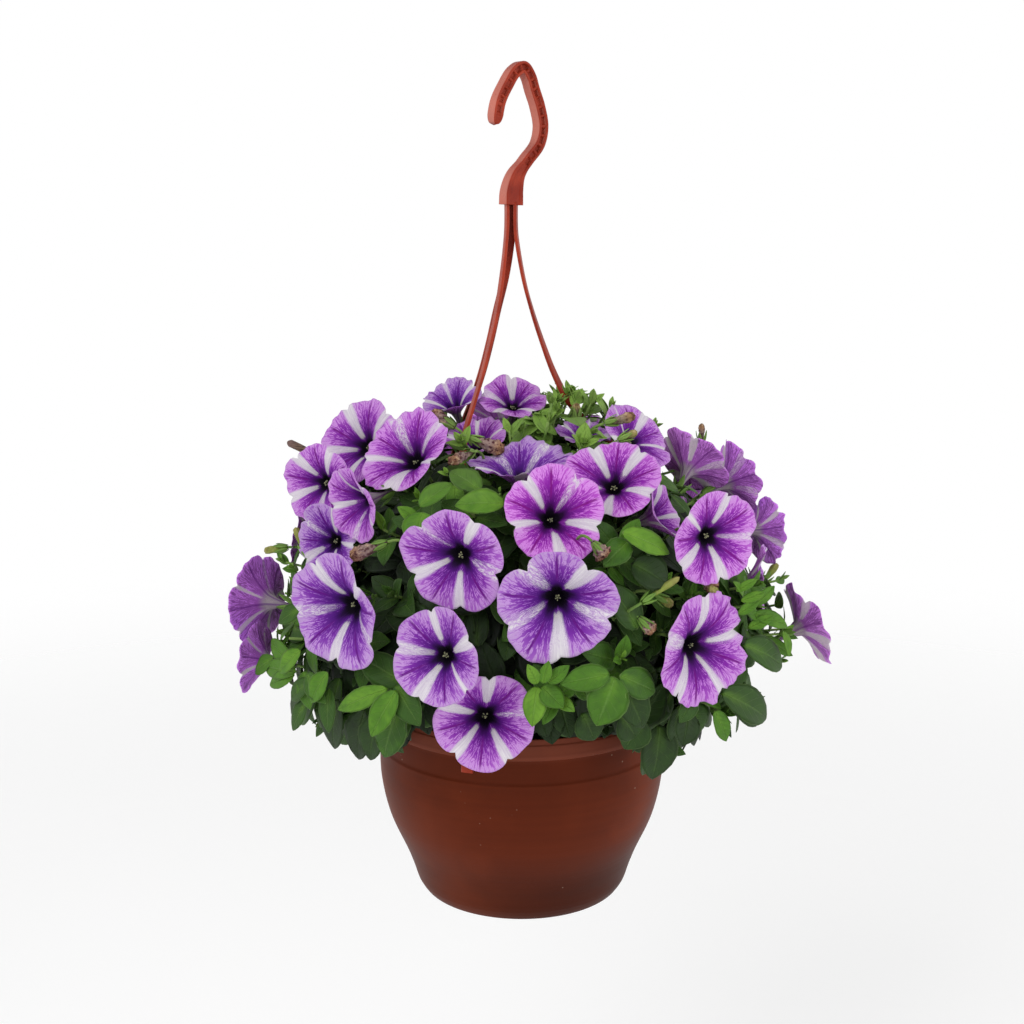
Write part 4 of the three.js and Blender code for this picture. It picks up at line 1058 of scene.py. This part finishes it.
# large single leaves: azimuth, distance and height of the base, the same of the tip, width
# and tone, which holds painted shade and light as well as the leaf's own green
BIG = np.array([
    (-25, 184, 70, -30, 190, 38, 17, 0.8), (-26, 175, 58, -31, 172, 18, 24, 0.55),
    (-27, 184, 70, -39, 188, 50, 14, 0.85), (-26, 180, 72, -20, 184, 48, 19, 0.5),
    (-28, 182, 78, -38, 190, 82, 13, 0.75), (-25, 178, 84, -27, 182, 106, 17, 0.5),
    (-32, 172, 48, -36, 168, 12, 20, 0.25), (-36, 172, 48, -41, 164, 8, 22, 0.15),
    (-44, 172, 50, -49, 166, 10, 22, 0.2), (-48, 170, 52, -54, 168, 22, 20, 0.4),
    (-52, 172, 52, -62, 172, 18, 20, 0.55), (-52, 182, 66, -50, 182, 40, 16, 0.7),
    (-54, 184, 64, -68, 190, 56, 14, 0.8), (-50, 184, 66, -42, 188, 52, 14, 0.6),
    (-56, 182, 66, -70, 184, 74, 13, 0.8), (-63, 186, 82, -79, 204, 57, 14, 0.75),
    (-64, 178, 70, -80, 190, 38, 20, 0.45), (-24, 176, 132, -24, 184, 106, 26, 0.35),
    (17, 186, 84, 7, 188, 80, 17, 0.72), (18, 186, 82, 14, 190, 52, 27, 0.68),
    (19, 185, 82, 28, 180, 66, 20, 0.6), (20, 180, 76, 25, 182, 44, 22, 0.3),
    (24, 168, 148, 31, 178, 134, 26, 0.2), (24, 178, 108, 18, 172, 138, 20, 0.35),
    (22, 168, 50, 26, 167, 33, 22, 0.3), (34, 160, 36, 33, 157, -3, 28, 0.25),
    (38, 166, 48, 39, 162, 20, 24, 0.3), (44, 160, 44, 48, 158, 18, 24, 0.5),
    (28, 164, 44, 24, 162, 24, 22, 0.35), (47, 178, 54, 63, 188, 24, 25, 0.4),
    (52, 184, 84, 67, 194, 58, 23, 0.5), (53, 190, 105, 60, 204, 93, 12, 0.8),
    (-4, 144, 184, -17, 146, 182, 19, 0.85), (-11, 134, 190, -22, 124, 200, 17, 0.6),
    (-26, 148, 180, -19, 132, 194, 15, 0.75), (-24, 152, 178, -24, 164, 158, 22, 0.8),
    (40, 50, 224, 30, 78, 222, 17, 0.7), (22, 166, 168, 33, 172, 152, 17, 0.9),
    (24, 164, 162, 17, 172, 148, 17, 0.6), (3, 178, 76, 2, 186, 52, 15, 0.9),
    (4, 178, 76, 8, 186, 64, 15, 0.75), (13, 168, 54, 16, 168, 35, 20, 0.3),
    (-65, 186, 65, -70, 196, 50, 13, 0.7), (-52, 184, 80, -57, 192, 62, 14, 0.85),
    (-55, 184, 61, -63, 192, 48, 12, 0.8), (-42, 186, 73, -46, 190, 50, 15, 0.8),
    (-49, 182, 62, -56, 186, 43, 13, 0.5), (-52, 180, 45, -57, 184, 20, 13, 0.5),
    (-43, 182, 61, -43, 184, 30, 14, 0.5), (-33, 178, 96, -41, 182, 78, 18, 0.4),
    (-22, 166, 122, -27, 178, 102, 22, 0.45), (-53, 180, 108, -57, 192, 96, 14, 0.55),
    (64, 196, 86, 63, 202, 69, 9, 0.9), (45, 178, 43, 48, 182, 20, 14, 0.75),
    (38, 174, 46, 35, 180, 26, 20, 0.2), (39, 176, 58, 34, 180, 42, 14, 0.45),
    (48, 186, 123, 52, 194, 130, 6, 0.85), (49, 188, 116, 53, 198, 121, 7, 0.85),
    (48, 188, 108, 52, 196, 116, 7, 0.8), (52, 188, 96, 56, 200, 104, 8, 0.8),
    (51, 186, 117, 46, 188, 131, 7, 0.85), (50, 186, 112, 55, 192, 99, 9, 0.75),
    (54, 188, 110, 60, 194, 120, 8, 0.8), (-26, 184, 76, -26, 190, 94, 8, 0.9),
    (-25, 185, 76, -22, 190, 89, 8, 0.95), (-26, 184, 78, -30, 188, 95, 10, 0.7),
    (-24, 182, 77, -18, 186, 84, 12, 0.6), (4, 186, 80, 5, 190, 96, 8, 0.8),
    (3, 186, 80, 1, 190, 94, 8, 0.9), (5, 185, 80, 9, 188, 92, 9, 0.75),
    (3, 152, 58, 6, 160, 36, 17, 0.15), (9, 152, 58, 11, 161, 35, 17, 0.2),
    (6, 150, 54, 7, 160, 31, 20, 0.12)])
BIG_DROOP = 0.5
big_base, big_tip = two_ends(BIG)
chord = unit(big_tip - big_base)
outward = unit((big_base + big_tip) / 2 - np.array([0, 0, rim + 0.05])) + (0, -0.35, 0.35)
big_over = upper_side(outward, chord)
big_length = np.linalg.norm(big_tip - big_base, axis=1)
leaves.append((big_base, unit(chord + big_over * np.tan(BIG_DROOP / 2)), big_over, big_length,
               BIG[:, 7], nearest(big_base, tip)))

base, along, over, length, tone, grows_on = (np.concatenate(part) for part in zip(*leaves))
total = len(length)
placed = np.arange(total) >= total - len(BIG)
rng = np.random.default_rng(31)
width = length * np.clip(0.40 + 6.0 * length, 0.44, 0.64) * rng.uniform(0.88, 1.12, total)
width[placed] = BIG[:, 6] / 1000
droop = rng.uniform(0.25, 0.95, total) * (length / 0.04)
droop[placed] = BIG_DROOP
fold = rng.uniform(0.08, 0.30, total)
wave = rng.uniform(0.0, 0.08, total)
blades = leaf_grids(base, along, upper_side(over, along), length, width, droop, fold, wave)

# a leaf goes where it would cut into a piece, hide a bloom or crowd a large single leaf
points = blades.reshape(total, -1, 3)
crowding = np.zeros(points.shape[:2], bool)
for middle, long, face in zip((big_base + big_tip) / 2, big_length, big_over):
    away = points - middle
    lift = away @ face
    beside = (away ** 2).sum(-1) - lift ** 2 < (0.46 * long) ** 2
    crowding |= beside & (lift > -0.002) & (lift < 0.016)
free = np.where(placed, ~hits(points, 0.003, False),
                ~hits(points) & ~veils(points) & ~crowding.any(1))

foliage = Finish("leaves", Roughness=0.46, Specular_IOR_Level=0.22)
leaf_uv = foliage.node("ShaderNodeUVMap", {"uv_map": "surface"})
up_leaf = leaf_uv.part(1)
from_rib = foliage.math("ABSOLUTE", leaf_uv.part(0) - 0.5) * 2
tone_mark = foliage.mark("tone")
mottle = foliage.place.noise(130, 3.0)
ribs = foliage.math("PINGPONG", up_leaf * 6.5 - from_rib * 1.7 + mottle * 0.35, 0.5) * 2
vein = ribs.rise(0.16, 0.04) * from_rib.rise(0.95, 0.5) * up_leaf.rise(0.03, 0.15)
rib = from_rib.rise(0.12, 0.0)
# the tone mark holds the leaves' own greens and also painted shade and light
green = (tone_mark + (mottle - 0.5) * 0.30).ramp(
    (0.0, rgb(13, 24, 9)), (0.25, rgb(34, 56, 20)), (0.55, rgb(50, 84, 23)),
    (0.8, rgb(72, 116, 25)), (1.0, rgb(106, 148, 44)))
lit = tone_mark.rise(0.0, 0.5)
green = (vein * lit * 0.08 + rib * lit * 0.13).blend(green, rgb(140, 178, 96))
green = (from_rib.rise(0.88, 1.0) * lit * 0.30).blend(green, rgb(140, 170, 104))
middle_light = from_rib.rise(0.5, 0.1) * up_leaf.rise(0.6, 0.1) * lit * 0.20
green = middle_light.blend(green, rgb(130, 178, 52))
# leaves on top of the mound are paler: their own hairy pale green, and painted light from above
top_pale_and_lit = foliage.place.part(2).rise(rim + 0.175, rim + 0.225)
green = (top_pale_and_lit * tone_mark.rise(0.3, 0.8) * 0.24).blend(green, rgb(176, 204, 110))
# undersides: their own paler green, painted paler still as painted light on the shaded side
beneath = (lit * (0.30 + 0.2 * mottle)).blend(green, rgb(128, 156, 88))
foliage.feed(Base_Color=foliage.mark("under").rise(0.4, 0.6).blend(green, beneath),
             Roughness=0.45 + 0.2 * mottle)
foliage.relief(mottle * 0.35 - rib * 0.9 - vein * 0.4, 0.0005)

leaf_map = np.stack(np.broadcast_arrays(0.5 + 0.5 * np.cos(LEAF_PSI), LEAF_V[:, None]), -1)
underside = np.broadcast_to(np.sin(LEAF_PSI) < -0.1, (1, len(LEAF_V), len(LEAF_PSI)))


def leaf_piece(name, blades, tone, replaces=()):
    """A piece of blades in the leaves' finish, with their tone from dark 0 to bright 1, which
    holds painted shade and light as well as the leaves' own greens.
    """
    make_piece(name, blades, foliage.material, replaces, wrap=True,
               uv=np.broadcast_to(leaf_map, (len(blades), *leaf_map.shape)),
               marks={"tone": tone, "under": underside})


grows_near = nearest(tip, tip[:MAIN_SHOOTS])[grows_on]
for number in range(MAIN_SHOOTS):
    mine = free & (grows_near == number)
    leaf_piece(f"leaves_{number + 1:02d}", blades[mine], np.clip(tone[mine], 0, 1)[:, None, None],
               [f"stem_{number + 1:02d}"])

# a stem is left bare of its tube where it has lost its leaves or would show through a bloom
FEWEST_LEAVES = 6
sap = Finish("stems", Roughness=0.55, Specular_IOR_Level=0.25)
sap.feed(Base_Color=sap.place.noise(90, 3.0).rise(0.3, 0.7).blend(rgb(84, 118, 48),
                                                                  rgb(128, 156, 80)))
sap.relief(sap.place.noise(700, 2.0), 0.0002)
paired = np.arange(total) < 2 * len(PAIRS) * count
leafy = np.bincount(grows_on[free & paired], minlength=count) >= FEWEST_LEAVES
leafy &= ~hits(stem_lines[:, 3:-1])
make_piece("stems", tubes(stem_lines[leafy], stem_radii[leafy]), sap.material,
           wrap=True)

# --------------------------------------------------------- calyxes, stalks and stamens
# Behind each flower a green calyx of five narrow sepals holds the tube's foot on a thin
# hairy stalk. Inside the throat sit a greenish stigma and five pale anthers.
SEPALS = 5
FIFTHS = np.linspace(0, 2 * np.pi, SEPALS, endpoint=False)
STALK_STEPS = 9

middles, aheads, leads, sizes, foots = (np.array(part) for part in zip(*blooms.values()))
sides = np.cross(leads, aheads)
cups = np.array([BLOOM_LOOKS.get(number, PLAIN_LOOK)[3] for number in blooms])
rng = np.random.default_rng(77)


def stalks(name, feet, bends, roots, radius):
    """A piece of thin stalks, each from a foot through a bend down to a root in the plant."""
    lines = bezier(feet, bends, roots, STALK_STEPS)
    make_piece(name, tubes(lines, np.full(lines.shape[:2], radius)), sap.material,
               wrap=True)


def round_about(turn, one, other):
    """Directions at the angles turn (axis, angle) from one towards other, in one list."""
    out = np.cos(turn)[..., None] * one[:, None] + np.sin(turn)[..., None] * other[:, None]
    return out.reshape(-1, 3)


def sepal_piece(name, bases, aims, outs, spread, length, width, droop, tone):
    """A piece of narrow sepals, which lean outwards from their flower's axis by spread."""
    along = aims * np.cos(spread) + outs * np.sin(spread)
    over = aims * np.sin(spread) - outs * np.cos(spread)
    leaf_piece(name, leaf_grids(bases, along, over, length, width, droop, 0.2, 0.03), tone)


def pips(centres, aims, wide, tall):
    """Small egg shapes: radius across and along a direction, one for each centre."""
    v = np.linspace(0, np.pi, 6)[:, None, None]
    u = np.linspace(0, 2 * np.pi, 8, endpoint=False)[:, None]
    level, other = square_to(aims, (0.31, 0.17, 0.93))
    ring = np.cos(u) * level[:, None] + np.sin(u) * other[:, None]
    skin = ring[:, None] * (np.sin(v) * wide[:, None, None, None])
    skin = skin + aims[:, None, None] * np.cos(v) * tall[:, None, None, None]
    return centres[:, None, None] + skin


rim_centre = np.array([0, 0, rim])
roots = (foots - rim_centre) * (0.45, 0.45, 0.35) + rim_centre
roots[:, 2] = np.maximum(roots[:, 2], rim + 0.012)
stalks("flower_stalks", foots, foots - aheads * 0.030, roots, 0.0011)

turn = FIFTHS + rng.uniform(0, 1.2, len(foots))[:, None]
outs = round_about(turn, leads, sides)
aims = aheads.repeat(SEPALS, 0)
sepal_piece("calyxes", foots.repeat(SEPALS, 0) + outs * 0.0016 - aims * 0.0005, aims, outs,
            np.radians(rng.uniform(22, 48, len(aims)))[:, None], 0.015, 0.0042,
            rng.uniform(-0.7, -0.1, len(aims)), 0.85)

throat = middles - aheads * (sizes * LIMB_DEPTH * cups * 0.70)[:, None]
outs = round_about(turn + 0.5, leads, sides)
askew = rng.uniform(0, 1, (3, len(aims)))
anthers = (throat.repeat(SEPALS, 0) + outs * (0.0007 + 0.0014 * askew[0])[:, None]
           + aims * (0.0014 * askew[1])[:, None])
grain_sizes = np.r_[0.0004 + 0.0004 * askew[2], 0.0007 * np.ones(len(foots))]
pollen = Finish("pollen", Roughness=0.8, Specular_IOR_Level=0.1)
grain = pollen.place.noise(1500, 2.0)
pollen.feed(Base_Color=grain.rise(0.35, 0.65).blend(rgb(66, 74, 58), rgb(160, 158, 124)))
make_piece("stamens", pips(np.vstack([anthers, throat + aheads * 0.0012]), np.vstack([outs, aheads]),
                           grain_sizes, grain_sizes * 1.2), pollen.material, wrap=True)

# ---------------------------------------------------------------------------------- buds
# A few young buds stand furled in five pleats, green at first and then lilac. Spent flowers
# hang on as twisted brown rags. Both have a stalk and five sepals, as the flowers have.

# azimuth, distance and height of the foot, then of the tip; widest radius in mm; age: 0 a
# green bud, 0.5 a lilac one, 1 a withered flower
BUDS = np.array([
    (24, 178, 116, 27, 182, 106, 4.2, 0.93), (-32, 160, 158, -41, 168, 146, 4.4, 0.85),
    (15, 168, 164, 18, 170, 154, 5.0, 1.0), (48, 158, 130, 47, 172, 121, 4.5, 0.9),
    (24, 182, 126, 34, 178, 138, 2.2, 0.15), (30, 166, 126, 34, 172, 118, 3.0, 0.4),
    (-66, 160, 132, -72, 164, 150, 2.6, 0.2), (40, 86, 224, 47, 104, 230, 3.4, 0.72),
    (57, 46, 220, 56, 46, 233, 2.6, 0.62), (-20, 92, 208, -22, 124, 206, 3.4, 0.88),
    (92, 176, 96, 96, 190, 108, 2.8, 0.2), (48, 176, 115, 41, 183, 129, 2.8, 0.35),
    (37, 105, 215, 43, 112, 221, 2.6, 0.55), (-65, 51, 215, -77, 66, 225, 4.6, 0.9),
    (-28, 75, 215, -9, 73, 206, 4.6, 0.95), (101, 134, 196, 100, 133, 212, 2.2, 0.75),
    (-77, 167, 133, -80, 184, 129, 2.6, 0.3), (-120, 120, 190, -124, 134, 202, 2.8, 0.3)])
bud_foot, bud_tip = two_ends(BUDS)
bud_way = unit(bud_tip - bud_foot)
bud_side, bud_third = square_to(bud_way, (0.2, 0.9, 0.1))
bud_length = np.linalg.norm(bud_tip - bud_foot, axis=1)[:, None, None, None]
azimuth, widest, years = BUDS.T[[0, 6, 7], :, None, None]
u = np.linspace(0, 2 * np.pi, 20, endpoint=False)
v = np.linspace(0, 1, 15)[:, None]
girth = np.interp(v, [0, 0.05, 0.2, 0.45, 0.75, 0.93, 1.0], [0, 0.32, 0.40, 0.75, 1.0, 0.72, 0])
pleats = 1 + (0.20 + 0.10 * years) * np.cos(5 * u + 5.0 * v + azimuth) * v
rags = 1 + 0.22 * years ** 3 * np.cos(9 * u + 24 * v ** 2)
out = widest / 1000 * girth * pleats * rags
ring = np.cos(u)[:, None] * bud_side[:, None] + np.sin(u)[:, None] * bud_third[:, None]
middle_line = bud_foot[:, None, None] + bud_way[:, None, None] * v[:, None] * bud_length

withered = Finish("buds", Roughness=0.8, Specular_IOR_Level=0.1)
age = withered.mark("age")
along_bud = withered.mark("along")
crumb = withered.place.noise(420, 3.0)
young = along_bud.ramp((0.0, rgb(92, 122, 48)), (0.5, rgb(124, 138, 62)), (1.0, rgb(146, 140, 84)))
old = along_bud.ramp((0.0, rgb(126, 116, 100)), (0.6, rgb(146, 122, 118)),
                     (0.85, rgb(150, 112, 84)), (1.0, rgb(92, 60, 50)))
bud_tone = age.rise(0.4, 0.85).blend(young, old)
bud_tone = (crumb.rise(0.52, 0.62) * age).blend(bud_tone, rgb(78, 42, 48))
bud_tone = (crumb.rise(0.42, 0.34) * age * 0.8).blend(bud_tone, rgb(196, 168, 140))
withered.feed(Base_Color=bud_tone)
withered.relief(crumb, 0.0008)
make_piece("buds", middle_line + ring[:, None] * out[..., None], withered.material,
           wrap=True, marks={"age": years, "along": v})

roots = bud_foot * (0.75, 0.75, 1.0) - (0, 0, 0.022)
roots[:, 2] = np.maximum(roots[:, 2], rim + 0.01)
stalks("bud_stalks", bud_foot, bud_foot - bud_way * 0.016, roots, 0.0010)

outs = round_about(np.tile(FIFTHS, (len(BUDS), 1)), bud_side, bud_third)
sepal_piece("bud_calyxes", bud_foot.repeat(SEPALS, 0) + outs * 0.0014, bud_way.repeat(SEPALS, 0),
            outs, 0.5, 0.011, 0.0034, -0.5, 0.9)

# ------------------------------------------------------------------------ dead shoot
# The dried brown stem of a lost shoot, round and knotted. It grew from the crown, sticks out
# of the leaves at the upper left, and is broken off, with a paler torn end.
DEAD_ROWS, DEAD_SIDES = 26, 12
t = np.linspace(0, 1, DEAD_ROWS)
dead_path = bezier(spot(-97, 0.036, 0.005)[None], spot(-97, 0.069, 0.155)[None],
                   spot(-95, 0.169, 0.199)[None], DEAD_ROWS)
knots = (1 + 0.35 * np.exp(-((t - 0.62) / 0.02) ** 2) + 0.30 * np.exp(-((t - 0.86) / 0.02) ** 2)
         + 0.15 * t ** 3)
stick = tubes(dead_path, 0.0024 * knots[None], DEAD_SIDES)
jags = 0.0012 * np.cos(2 * np.linspace(0, 2 * np.pi, DEAD_SIDES, endpoint=False))
stick[:, -2] += jags[:, None] * unit(dead_path[0, -1] - dead_path[0, -2])
bark = Finish("dead_wood", Roughness=0.85, Specular_IOR_Level=0.15)
fibre = bark.place.stretched((160, 700, 900)).noise(1.0, 3.0)
bark_tone = fibre.rise(0.3, 0.7).blend(rgb(48, 36, 32), rgb(124, 102, 86))
bark.feed(Base_Color=bark.mark("torn").blend(bark_tone, rgb(120, 96, 92)))
bark.relief(fibre, 0.0006)
make_piece("dead_shoot_wood", stick, bark.material, ["dead_shoot"], wrap=True,
           marks={"torn": np.r_[np.zeros(DEAD_ROWS), 1, 1][None, :, None]})
